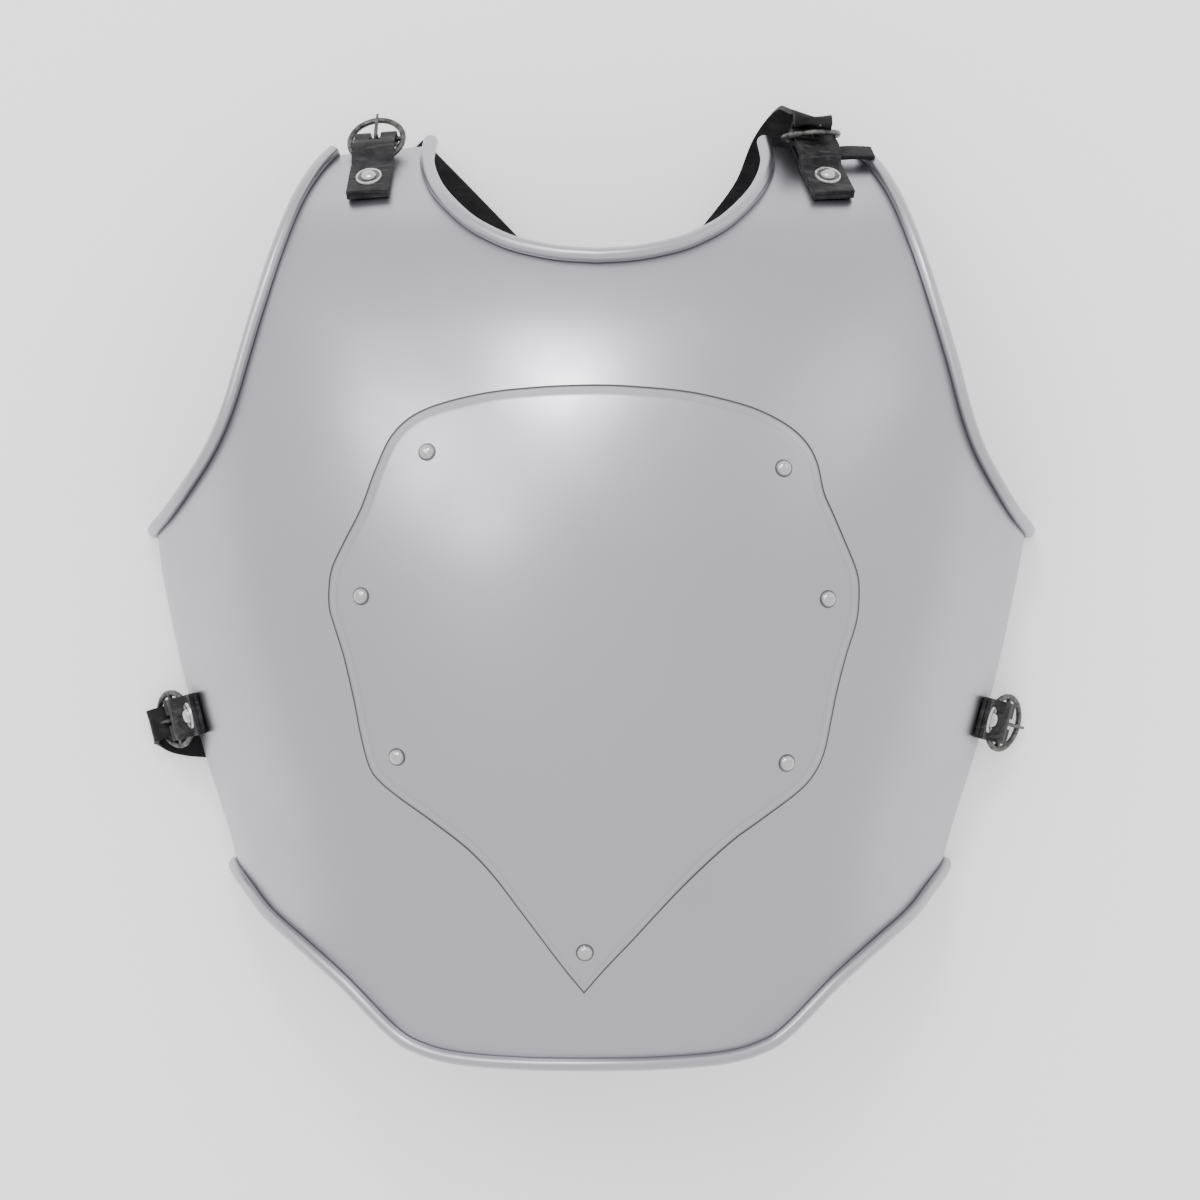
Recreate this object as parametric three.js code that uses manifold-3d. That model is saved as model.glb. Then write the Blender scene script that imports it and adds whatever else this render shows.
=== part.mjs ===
// A steel breastplate with a riveted placard, four buckles on leather chapes and two leather
// back straps.  It lies on its back on a level surface: +X is the viewer's right, +Y points to
// the neck and +Z is up, out of the chest.  Millimetres, with the origin under the middle.

import * as THREE from 'three';
import { mergeVertices } from 'three/addons/utils/BufferGeometryUtils.js';
import Module from 'manifold-3d';

const wasm = await Module();
wasm.setup();

// ---------------------------------------------------------------- driving dimensions

const SHEET = 1.2;                 // thickness of the shell's steel
const LEAN = { reach: 3.6, from: 220, to: 330 };     // the neck stands this far right of the waist
const ARCH_HEIGHT = 8;             // rise of each side edge between its two resting corners
const ARCH_LAND = 16;              // level length at each resting corner
const EDGE_STEP = 2.5;             // short step in which a rolled edge begins or ends
const ARCH_STEPS = 5;              // stations along each arch
const ARM_STEPS = 15;              // along each armhole
const NECK_STEPS = 11;             // along half of the neck
const TAB_STEPS = 4;               // across each shoulder's end

const ROLL = { neck: 4.0, arm: 3.0, waist: 3.0 };   // radius of each rolled edge
const ROLL_SIDES = 6;

const PLACARD = { gap: 0.6, sheet: 1.4, rim: 0.7, border: 4.2, stations: 44 };
const PLACARD_CENTRE = { x: 0, y: 205 };
const PLACARD_LEVELS = [0.16, 0.33, 0.5, 0.67, 0.83];   // rings of the plate, as shares of its reach
const DOME = { radius: 3.7, height: 2.7, shank: 1.5, tail: 2.6, tailHeight: 0.9, sides: 8 };
const HOLE = { radius: 2.1, length: 30, sides: 6 };
const SEAT_GAP = 0.35;             // between a rivet's head and what it holds down
const PLACARD_TAIL = 1.5;          // from the inside of the shell to a rivet's closed tail
const CHAPE_TAIL = 1.8;

const LEATHER = 2.3;               // one layer
const STRAP_WIDTH = 20;
const RING = { radius: 12.9, wire: 1.4, bar: 1.25, wireSides: 5, steps: 20, barSides: 7 };
const TONGUE = { wire: 0.9, taper: 0.55, loop: 2.5, offset: 2.75, overhang: 2.6, sides: 6, steps: 10 };
const EYE = { gap: 0.4, sides: 8 };                      // the chape's fold round the bar
const SLOT = { width: 6, length: 12, back: 5, depth: 16 };   // opening in a chape for the tongue
const PIN_HOLE = { radius: 1.6, from: 5.5, length: 13, sides: 6 };   // a strap's hole for the tongue

// Cross-sections of the shell, by distance from the waist edge: each is half of an ellipse.
const SECTIONS = [
  { y: -15, halfWidth: 147, crown: 102 },
  { y: 0, halfWidth: 152, crown: 108 },
  { y: 60, halfWidth: 164, crown: 126 },
  { y: 100, halfWidth: 173, crown: 137 },
  { y: 150, halfWidth: 188.5, crown: 147 },
  { y: 200, halfWidth: 201, crown: 150 },
  { y: 250, halfWidth: 210, crown: 148 },
  { y: 300, halfWidth: 212.5, crown: 139 },
  { y: 340, halfWidth: 209, crown: 126 },
  { y: 370, halfWidth: 206, crown: 111 },
  { y: 390, halfWidth: 203, crown: 96.5 },
  { y: 405, halfWidth: 201, crown: 81 },
  { y: 420, halfWidth: 198.5, crown: 59.5 },
  { y: 434, halfWidth: 196, crown: 33 },
  { y: 442, halfWidth: 195, crown: 15 },
];

// Half outlines of the sheet, measured from the body's middle line.
const FLANK = { waistY: 92, armpitY: 248 };
const WAIST_EDGE = [                // from the side corner to the middle
  { x: 161, y: 82 },
  { x: 150.5, y: 70.5 },
  { x: 134.5, y: 58 },
  { x: 113.5, y: 40.5 },
  { x: 90, y: 17.5 },
  { x: 77, y: 10.2 },
  { x: 60, y: 6.4 },
  { x: 30, y: 4.6 },
  { x: 0, y: 4.3 },
];
const ARMHOLE_EDGE = [              // from the armpit corner to the shoulder
  { x: 200.5, y: 255.5 },
  { x: 190, y: 268.5 },
  { x: 179, y: 285.5 },
  { x: 171, y: 304 },
  { x: 163, y: 332 },
  { x: 155.8, y: 356.6 },
  { x: 148.3, y: 381 },
  { x: 139.5, y: 405.5 },
  { x: 131, y: 421.5 },
  { x: 124, y: 430 },
];
const NECK_EDGE = [                 // from the shoulder to the middle
  { x: 82.5, y: 434.5 },
  { x: 83.4, y: 423 },
  { x: 79.2, y: 411 },
  { x: 72.4, y: 401.5 },
  { x: 61.5, y: 391 },
  { x: 50, y: 384 },
  { x: 38, y: 379 },
  { x: 19, y: 374.8 },
  { x: 0, y: 373.4 },
];

// Outline of the placard, clockwise from the middle of its top.
const PLACARD_EDGE = [
  { x: 4, y: 315.2 }, { x: 24, y: 314.3 }, { x: 46, y: 312.1 }, { x: 66.5, y: 307.6 },
  { x: 80, y: 303 }, { x: 92.5, y: 296 }, { x: 100.5, y: 288 }, { x: 104.8, y: 279 },
  { x: 107.6, y: 266.3 }, { x: 112, y: 256.2 }, { x: 117, y: 244.7 }, { x: 122.7, y: 230.8 },
  { x: 124, y: 222 }, { x: 123, y: 207.8 }, { x: 118, y: 191.6 }, { x: 113.8, y: 175.5 },
  { x: 111, y: 161.6 }, { x: 107.9, y: 146.8 }, { x: 102.8, y: 136.2 }, { x: 94.8, y: 127.9 },
  { x: 78.1, y: 115.7 }, { x: 63.8, y: 105.2 }, { x: 42.6, y: 85.4 }, { x: 19.1, y: 59.9 },
  { x: 7.2, y: 47.2 }, { x: -2.5, y: 35.9 }, { x: -12.7, y: 48.6 }, { x: -33.8, y: 77.1 },
  { x: -44.4, y: 91 }, { x: -55.9, y: 103 }, { x: -72.5, y: 115.8 }, { x: -87.3, y: 126.2 },
  { x: -96.7, y: 133.9 }, { x: -101.3, y: 140.8 }, { x: -105, y: 154.7 }, { x: -108.1, y: 170.9 },
  { x: -112.7, y: 190.7 }, { x: -116.9, y: 204.1 }, { x: -119.5, y: 213 }, { x: -119.7, y: 222.5 },
  { x: -118.2, y: 231.8 }, { x: -112.6, y: 243.7 }, { x: -104.8, y: 258.9 }, { x: -98, y: 277.3 },
  { x: -90, y: 293.4 }, { x: -76.3, y: 304 }, { x: -50.5, y: 311.2 }, { x: -23, y: 314.3 },
];
const PLACARD_TIP = 25;             // row of the point at its foot, which stays sharp

const PLACARD_RIVETS = [
  { x: -74, y: 284.5 }, { x: 88.6, y: 277.2 },
  { x: -104.2, y: 218.8 }, { x: 108.9, y: 217.5 },
  { x: -87.7, y: 145.2 }, { x: 90, y: 142.4 },
  { x: -2.1, y: 55.2 },
];

// ---------------------------------------------------------------- colours

const steel = new THREE.MeshStandardMaterial({ color: 0xb4b4b9, roughness: 0.38, metalness: 1 });
const rivetSteel = new THREE.MeshStandardMaterial({ color: 0xa9a9ad, roughness: 0.35, metalness: 1 });
const agedSteel = new THREE.MeshStandardMaterial({ color: 0x6f6e6b, roughness: 0.5, metalness: 1 });
const blackLeather = new THREE.MeshStandardMaterial({ color: 0x1d1c1f, roughness: 0.6, metalness: 0 });

const breastplate = new THREE.Group();

// ---------------------------------------------------------------- small tools

const clamp = (value, low, high) => Math.min(high, Math.max(low, value));
const smoothStep = (t) => t * t * (3 - 2 * t);
const vec = (x, y, z) => new THREE.Vector3(x, y, z);

/** Value of one column of a table at a place along it, on a smooth curve through its rows. */
function alongTable(rows, key, at) {
  let i = 0;
  while (i < rows.length - 2 && rows[i + 1].y < at) i += 1;
  const slope = (k) => {
    const a = rows[Math.max(0, k - 1)];
    const b = rows[Math.min(rows.length - 1, k + 1)];
    return (b[key] - a[key]) / (b.y - a.y);
  };
  const span = rows[i + 1].y - rows[i].y;
  const t = (at - rows[i].y) / span;
  const t2 = t * t;
  const t3 = t2 * t;
  return rows[i][key] * (2 * t3 - 3 * t2 + 1) + rows[i + 1][key] * (3 * t2 - 2 * t3)
    + span * (slope(i) * (t3 - 2 * t2 + t) + slope(i + 1) * (t3 - t2));
}

/** Smooth curve through points given as {x, y}, read evenly along its length. */
function curveThrough(points, tension = 0.5) {
  return new THREE.CatmullRomCurve3(points.map((p) => vec(p.x, p.y, 0)), false, 'catmullrom', tension);
}

function closedSolid(vertices, triangles) {
  const geometry = new THREE.BufferGeometry();
  geometry.setAttribute('position', new THREE.Float32BufferAttribute(vertices.flat(), 3));
  geometry.setIndex(triangles.flat());
  return geometry;
}

function toManifold(geometry) {
  const plain = geometry.clone();
  plain.deleteAttribute('normal');
  plain.deleteAttribute('uv');
  const merged = mergeVertices(plain, 1e-4);
  return new wasm.Manifold(new wasm.Mesh({
    numProp: 3,
    vertProperties: new Float32Array(merged.attributes.position.array),
    triVerts: new Uint32Array(merged.index.array),
  }));
}

function fromManifold(solid) {
  const mesh = solid.getMesh();
  const geometry = new THREE.BufferGeometry();
  geometry.setAttribute('position', new THREE.BufferAttribute(new Float32Array(mesh.vertProperties), 3));
  geometry.setIndex(new THREE.BufferAttribute(new Uint32Array(mesh.triVerts), 1));
  return geometry;
}

const cut = (geometry, cutters) => fromManifold(
  cutters.reduce((solid, cutter) => solid.subtract(toManifold(cutter)), toManifold(geometry)));
const join = (geometry, others) => fromManifold(
  others.reduce((solid, other) => solid.add(toManifold(other)), toManifold(geometry)));

function addMesh(name, geometry, material, parent = breastplate) {
  const mesh = new THREE.Mesh(geometry, material);
  mesh.name = name;
  parent.add(mesh);
  return mesh;
}

// ---------------------------------------------------------------- the body's surface

const lean = (y) => LEAN.reach * smoothStep(clamp((y - LEAN.from) / (LEAN.to - LEAN.from), 0, 1));
const halfWidth = (y) => alongTable(SECTIONS, 'halfWidth', y);
const crown = (y) => alongTable(SECTIONS, 'crown', y);

/** Point of the shell's outer face: q is the angle round the body from the middle line. */
function surfacePoint(q, y) {
  return vec(halfWidth(y) * Math.sin(q) + lean(y), y, crown(y) * Math.cos(q));
}

function surfaceNormal(q, y) {
  const step = 1e-3;
  const alongQ = surfacePoint(q + step, y).sub(surfacePoint(q - step, y));
  const alongY = surfacePoint(q, y + step).sub(surfacePoint(q, y - step));
  return alongQ.cross(alongY).normalize();
}

/** Angle q of the point that is x from the body's middle line at height y. */
const angleAt = (x, y) => Math.asin(clamp(x / halfWidth(y), -1, 1));

function offsetPoint(q, y, out) {
  return surfacePoint(q, y).addScaledVector(surfaceNormal(q, y), out);
}

// ---------------------------------------------------------------- the shell

/** Height of a side edge above the surface it rests on: level at its ends, arched between. */
function archAt(y) {
  const inset = Math.min(y - FLANK.waistY, FLANK.armpitY - y) - ARCH_LAND;
  const half = (FLANK.armpitY - FLANK.waistY) / 2 - ARCH_LAND;
  return ARCH_HEIGHT * smoothStep(clamp(inset / half, 0, 1));
}

/** One side of the sheet, from its waist corner to its shoulder, as rows of {q, y}. */
function sideStations(side) {
  const stations = [];
  const flankSteps = [0, EDGE_STEP, ARCH_LAND];
  const length = FLANK.armpitY - FLANK.waistY;
  for (let i = 1; i <= ARCH_STEPS; i += 1) {
    flankSteps.push(ARCH_LAND + (length - 2 * ARCH_LAND) * i / ARCH_STEPS);
  }
  flankSteps.push(length - EDGE_STEP);
  for (const step of flankSteps) {
    const y = FLANK.waistY + step;
    stations.push({ q: side * Math.acos(archAt(y) / crown(y)), y });
  }
  const armhole = curveThrough([{ x: halfWidth(FLANK.armpitY), y: FLANK.armpitY }, ...ARMHOLE_EDGE]);
  for (let i = 0; i <= ARM_STEPS; i += 1) {
    const p = armhole.getPointAt(i / ARM_STEPS);
    const q = i === 0 ? Math.PI / 2 : angleAt(p.x, p.y);
    stations.push({ q: side * q, y: p.y });
  }
  return stations;
}

/** Stations along the top: shoulder end, neck, shoulder end. */
function topStations() {
  const outer = ARMHOLE_EDGE[ARMHOLE_EDGE.length - 1];
  const inner = NECK_EDGE[0];
  const tabLength = outer.x - inner.x;
  const half = [0, EDGE_STEP, tabLength / 2, tabLength - EDGE_STEP].map((step) => ({
    x: outer.x - step,
    y: outer.y + (inner.y - outer.y) * step / tabLength,
  }));
  const neck = curveThrough(NECK_EDGE);
  for (let i = 0; i <= NECK_STEPS; i += 1) half.push(neck.getPointAt(i / NECK_STEPS));
  const left = half.map((s) => ({ q: -angleAt(s.x, s.y), y: s.y }));
  return [...left, ...left.slice(0, -1).reverse().map((s) => ({ ...s, q: -s.q }))];
}

/** Stations along the waist edge, as many as along the top. */
function waistStations(count) {
  const corner = { x: halfWidth(FLANK.waistY), y: FLANK.waistY };
  const edge = curveThrough([corner, ...WAIST_EDGE]);
  const steps = (count - 1) / 2;
  const half = [];
  for (let i = 0; i <= steps; i += 1) {
    const p = edge.getPointAt(i / steps);
    half.push({ q: i === 0 ? -Math.PI / 2 : -angleAt(p.x, p.y), y: p.y });
  }
  return [...half, ...half.slice(0, -1).reverse().map((s) => ({ ...s, q: -s.q }))];
}

/** Grid of {q, y} over the whole sheet, blended from its four edges. */
function sheetGrid() {
  const top = topStations();
  const waist = waistStations(top.length);
  const left = sideStations(-1);
  const right = sideStations(1);
  const columns = top.length;
  const rows = left.length;
  const grid = [];
  for (let j = 0; j < rows; j += 1) {
    const v = j / (rows - 1);
    const row = [];
    for (let i = 0; i < columns; i += 1) {
      const u = i / (columns - 1);
      const blend = (key) => (1 - v) * waist[i][key] + v * top[i][key]
        + (1 - u) * left[j][key] + u * right[j][key]
        - (1 - u) * (1 - v) * waist[0][key] - u * (1 - v) * waist[columns - 1][key]
        - (1 - u) * v * top[0][key] - u * v * top[columns - 1][key];
      row.push({ q: blend('q'), y: blend('y') });
    }
    grid.push(row);
  }
  return { grid, rows, columns };
}

/** Edge stations in order round the sheet, anticlockwise seen from outside, with their rolls. */
function rimStations(rows, columns) {
  const lastRow = rows - 1;
  const lastColumn = columns - 1;
  const rim = [];
  const add = (row, column, edge, roll = 0) => rim.push({ row, column, edge, roll });
  const side = (row, column, name) => {
    if (row < rows - ARM_STEPS - 1) add(row, column, `flank${name}`);
    else add(row, column, `arm${name}`, ROLL.arm);
  };
  for (let i = 0; i <= lastColumn; i += 1) add(0, i, 'waist', ROLL.waist);
  for (let j = 1; j <= lastRow; j += 1) side(j, lastColumn, 'Right');
  for (let i = lastColumn - 1; i > 0; i -= 1) {
    if (i > lastColumn - TAB_STEPS) add(lastRow, i, 'tabRight');
    else if (i < TAB_STEPS) add(lastRow, i, 'tabLeft');
    else add(lastRow, i, 'neck', ROLL.neck);
  }
  for (let j = lastRow; j > 0; j -= 1) side(j, 0, 'Left');
  return rim;
}

/** Section of an edge in its own plane: {e} outwards along the sheet, {n} away from the body. */
function edgeProfile(radius) {
  const profile = [];
  if (radius === 0) {
    for (let k = 0; k < ROLL_SIDES; k += 1) profile.push({ e: 0, n: -SHEET * (k + 1) / (ROLL_SIDES + 1) });
    return profile;
  }
  const rise = radius - SHEET;
  const middle = Math.sqrt(radius * radius - rise * rise);
  const start = Math.PI + Math.asin(rise / radius);
  const sweep = start + Math.PI / 2;
  for (let k = 1; k <= ROLL_SIDES; k += 1) {
    const angle = start - sweep * k / ROLL_SIDES;
    profile.push({ e: middle + radius * Math.cos(angle), n: rise + radius * Math.sin(angle) });
  }
  return profile;
}

function shellGeometry() {
  const { grid, rows, columns } = sheetGrid();
  const vertices = [];
  const triangles = [];
  const put = (p) => vertices.push([p.x, p.y, p.z]) - 1;
  const putLevel = (p) => put(vec(p.x, p.y, Math.max(0, p.z)));   // a roll ends level where it rests
  const outer = grid.map((row) => row.map((s) => put(surfacePoint(s.q, s.y))));
  const inner = grid.map((row) => row.map((s) => put(offsetPoint(s.q, s.y, -SHEET))));
  for (let j = 0; j < rows - 1; j += 1) {
    for (let i = 0; i < columns - 1; i += 1) {
      triangles.push([outer[j][i], outer[j][i + 1], outer[j + 1][i + 1]]);
      triangles.push([outer[j][i], outer[j + 1][i + 1], outer[j + 1][i]]);
      triangles.push([inner[j][i], inner[j + 1][i + 1], inner[j][i + 1]]);
      triangles.push([inner[j][i], inner[j + 1][i], inner[j + 1][i + 1]]);
    }
  }
  const rim = rimStations(rows, columns);
  const place = (s) => surfacePoint(grid[s.row][s.column].q, grid[s.row][s.column].y);
  const rings = rim.map((station, k) => {
    const previous = rim[(k + rim.length - 1) % rim.length];
    const next = rim[(k + 1) % rim.length];
    const here = place(station);
    const from = previous.edge === station.edge ? place(previous) : here;
    const to = next.edge === station.edge ? place(next) : here;
    const tangent = to.clone().sub(from).normalize();
    const { q, y } = grid[station.row][station.column];
    const normal = surfaceNormal(q, y);
    const outward = tangent.clone().cross(normal).normalize();
    const points = edgeProfile(station.roll).map(
      ({ e, n }) => putLevel(here.clone().addScaledVector(outward, e).addScaledVector(normal, n)));
    return [outer[station.row][station.column], ...points, inner[station.row][station.column]];
  });
  rings.forEach((ring, k) => {
    const next = rings[(k + 1) % rings.length];
    for (let m = 0; m < ring.length - 1; m += 1) {
      triangles.push([ring[m], ring[m + 1], next[m + 1]]);
      triangles.push([ring[m], next[m + 1], next[m]]);
    }
  });
  return closedSolid(vertices, triangles);
}

// ---------------------------------------------------------------- rivets

/** Place and turn a group so that its +Z is the surface's normal and its +X is the heading. */
function frameOn(q, y, heading) {
  const normal = surfaceNormal(q, y);
  const across = normal.clone().cross(heading).normalize();
  const along = across.clone().cross(normal).normalize();
  const group = new THREE.Group();
  group.setRotationFromMatrix(new THREE.Matrix4().makeBasis(along, across, normal));
  group.position.copy(surfacePoint(q, y));
  group.updateMatrixWorld(true);
  return group;
}

/** A domed rivet whose head sits at height seat and whose tail is closed below foot. */
function rivetGeometry(seat, foot) {
  const profile = [];
  const domeSteps = 3;
  profile.push(new THREE.Vector2(0, foot - DOME.tailHeight));
  profile.push(new THREE.Vector2(DOME.tail, foot - DOME.tailHeight));
  profile.push(new THREE.Vector2(DOME.tail, foot));
  profile.push(new THREE.Vector2(DOME.shank, foot));
  profile.push(new THREE.Vector2(DOME.shank, seat));
  for (let i = 0; i < domeSteps; i += 1) {
    const angle = Math.PI / 2 * i / domeSteps;
    profile.push(new THREE.Vector2(DOME.radius * Math.cos(angle), seat + DOME.height * Math.sin(angle)));
  }
  profile.push(new THREE.Vector2(0, seat + DOME.height));
  return new THREE.LatheGeometry(profile, DOME.sides).rotateX(Math.PI / 2);
}

const holeCutter = () => new THREE.CylinderGeometry(HOLE.radius, HOLE.radius, HOLE.length, HOLE.sides)
  .rotateX(Math.PI / 2);

// ---------------------------------------------------------------- the placard

/** Angle q of a point given by its place in plan, with the lean of the shell taken out. */
const planAngle = ({ x, y }) => angleAt(x - lean(y), y);

/** The placard's plate: rings of points over the shell, thinned to its rim at the outline. */
function placardGeometry() {
  const loop = [...PLACARD_EDGE.slice(PLACARD_TIP), ...PLACARD_EDGE.slice(0, PLACARD_TIP + 1)];
  const outline = curveThrough(loop);
  const count = PLACARD.stations;
  const edge = Array.from({ length: count }, (_, k) => outline.getPointAt(k / count));
  const scaled = (p, scale) => ({
    x: PLACARD_CENTRE.x + (p.x - PLACARD_CENTRE.x) * scale,
    y: PLACARD_CENTRE.y + (p.y - PLACARD_CENTRE.y) * scale,
  });
  const reach = (p) => Math.hypot(p.x - PLACARD_CENTRE.x, p.y - PLACARD_CENTRE.y);
  const border = edge.map((p) => scaled(p, 1 - PLACARD.border / reach(p)));
  const rings = [...PLACARD_LEVELS.map((scale) => edge.map((p) => scaled(p, scale))), border, edge];
  const rim = rings.length - 1;
  const vertices = [];
  const triangles = [];
  const put = (p, out) => {
    const v = offsetPoint(planAngle(p), p.y, out);
    return vertices.push([v.x, v.y, v.z]) - 1;
  };
  const face = (height) => ({
    middle: put(PLACARD_CENTRE, height(0)),
    loops: rings.map((points, level) => points.map((p) => put(p, height(level)))),
  });
  const upper = face((level) => PLACARD.gap + (level === rim ? PLACARD.rim : PLACARD.sheet));
  const lower = face(() => PLACARD.gap);
  for (let k = 0; k < count; k += 1) {
    const n = (k + 1) % count;
    triangles.push([upper.middle, upper.loops[0][n], upper.loops[0][k]]);
    triangles.push([lower.middle, lower.loops[0][k], lower.loops[0][n]]);
    for (let level = 0; level < rim; level += 1) {
      const [a, b] = [upper.loops[level], upper.loops[level + 1]];
      triangles.push([a[k], a[n], b[n]], [a[k], b[n], b[k]]);
      const [c, d] = [lower.loops[level], lower.loops[level + 1]];
      triangles.push([c[k], d[n], c[n]], [c[k], d[k], d[n]]);
    }
    const [a, b] = [upper.loops[rim], lower.loops[rim]];
    triangles.push([a[k], a[n], b[n]], [a[k], b[n], b[k]]);
  }
  return closedSolid(vertices, triangles);
}

// ---------------------------------------------------------------- buckles on their chapes

/** A folded leather chape in the frame of its rivet: it runs to +X and closes round the bar. */
function chapeGeometry(buckle) {
  const { path, bar } = buckle;
  const top = [];
  const bottom = [];
  path.forEach((p, i) => {
    const a = path[Math.max(0, i - 1)];
    const b = path[i + 1] ?? bar;
    const angle = Math.atan2(b.h - a.h, b.s - a.s);
    top.push([p.s - LEATHER * Math.sin(angle), p.h + LEATHER * Math.cos(angle)]);
    bottom.push([p.s + LEATHER * Math.sin(angle), p.h - LEATHER * Math.cos(angle)]);
  });
  const last = path[path.length - 1];
  const eyeRadius = RING.bar + EYE.gap;
  const noseRadius = eyeRadius + LEATHER;
  const noseAngle = Math.atan2(bar.h - last.h, bar.s - last.s);
  const nose = [];
  for (let k = 0; k <= EYE.sides; k += 1) {
    const angle = noseAngle - Math.PI / 2 + Math.PI * k / EYE.sides;
    nose.push([bar.s + noseRadius * Math.cos(angle), bar.h + noseRadius * Math.sin(angle)]);
  }
  const outline = [...bottom, ...nose, ...top.reverse()];
  const shape = new THREE.Shape(outline.map(([s, h]) => new THREE.Vector2(s, h)));
  const eye = new THREE.Path();
  eye.absarc(bar.s, bar.h, eyeRadius, 0, 2 * Math.PI, true);
  shape.holes.push(eye);
  const strip = new THREE.ExtrudeGeometry(
    shape, { depth: STRAP_WIDTH, bevelEnabled: false, curveSegments: EYE.sides });
  strip.rotateX(Math.PI / 2);
  strip.translate(0, STRAP_WIDTH / 2, 0);
  const slot = new THREE.BoxGeometry(SLOT.length, SLOT.width, SLOT.depth);
  slot.translate(bar.s - SLOT.back + SLOT.length / 2, 0, bar.h);
  return cut(strip, [slot, holeCutter()]);
}

/** A round ring with a bar across its middle; its front half points to angle, from +X to +Z. */
function ringGeometry({ bar, ringAngle }) {
  const ring = new THREE.TorusGeometry(RING.radius, RING.wire, RING.wireSides, RING.steps);
  ring.rotateZ(Math.PI / RING.steps);
  const across = new THREE.CylinderGeometry(RING.bar, RING.bar, 2 * RING.radius, RING.barSides);
  return join(ring, [across]).rotateY(-ringAngle).translate(bar.s, 0, bar.h);
}

/** A tongue: an eye round the bar and a pin that rests on the ring's front half. */
function tongueGeometry({ bar, ringAngle, tongueSide = 1, tongueLift = 0 }) {
  const { wire, loop, sides, steps } = TONGUE;
  const eye = new THREE.TorusGeometry(loop, wire, sides, steps).rotateX(Math.PI / 2);
  const length = RING.radius + TONGUE.overhang;
  const pin = new THREE.CylinderGeometry(TONGUE.taper * wire, wire, length, sides);
  pin.rotateZ(-Math.PI / 2);
  pin.translate(length / 2, 0, TONGUE.offset);
  const tongue = join(eye, [pin]);
  if (tongueSide < 0) tongue.rotateX(Math.PI);
  return tongue.rotateY(-ringAngle - tongueLift).translate(bar.s, 0, bar.h);
}

const degrees = (d) => d * Math.PI / 180;

const HIP_PATH = [
  { s: -8, h: 2.9 }, { s: 4.4, h: 2.9 }, { s: 6.2, h: 5.2 }, { s: 8, h: 7.4 }, { s: 11, h: 9 },
  { s: 15, h: 9 }, { s: 18, h: 8.3 },
];
const BUCKLES = [
  {
    name: 'shoulder_left', x: -107.4, y: 413.3, heading: vec(0.11, 1, 0),
    path: [
      { s: -11.5, h: 2.7 }, { s: 10, h: 2.5 }, { s: 14.1, h: 2.2 }, { s: 16.6, h: 3.5 },
      { s: 19.5, h: 5.6 }, { s: 23.5, h: 6.5 }, { s: 28, h: 5.3 },
    ],
    bar: { s: 32.9, h: 3.5 }, ringAngle: degrees(13),
  },
  {
    name: 'shoulder_right', x: 108.3, y: 414, heading: vec(-0.4, 1, 0),
    path: [
      { s: -13, h: 2.7 }, { s: 8, h: 2.7 }, { s: 10.8, h: 2.9 }, { s: 12.9, h: 5 },
      { s: 15.2, h: 7.9 }, { s: 19.1, h: 8.9 }, { s: 24, h: 8.2 },
    ],
    bar: { s: 29.5, h: 7.4 }, ringAngle: degrees(137), tongueSide: -1, tongueLift: degrees(-2),
  },
  {
    name: 'hip_left', y: 163, side: -1, rivetZ: 35,
    path: HIP_PATH, bar: { s: 21, h: 7.6 }, ringAngle: degrees(22),
  },
  {
    name: 'hip_right', y: 161, side: 1, rivetZ: 32,
    path: HIP_PATH, bar: { s: 21, h: 7.4 }, ringAngle: degrees(22),
  },
];

/** Frame of a buckle's rivet: a shoulder's heading is given in plan, a hip's points down. */
function buckleFrame({ x, y, heading, side, rivetZ }) {
  if (side) return frameOn(side * Math.acos(rivetZ / crown(y)), y, vec(0, 0, -1));
  const q = angleAt(x, y);
  const normal = surfaceNormal(q, y);
  const rise = -(heading.x * normal.x + heading.y * normal.y) / normal.z;
  return frameOn(q, y, vec(heading.x, heading.y, rise));
}

// ---------------------------------------------------------------- straps

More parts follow.
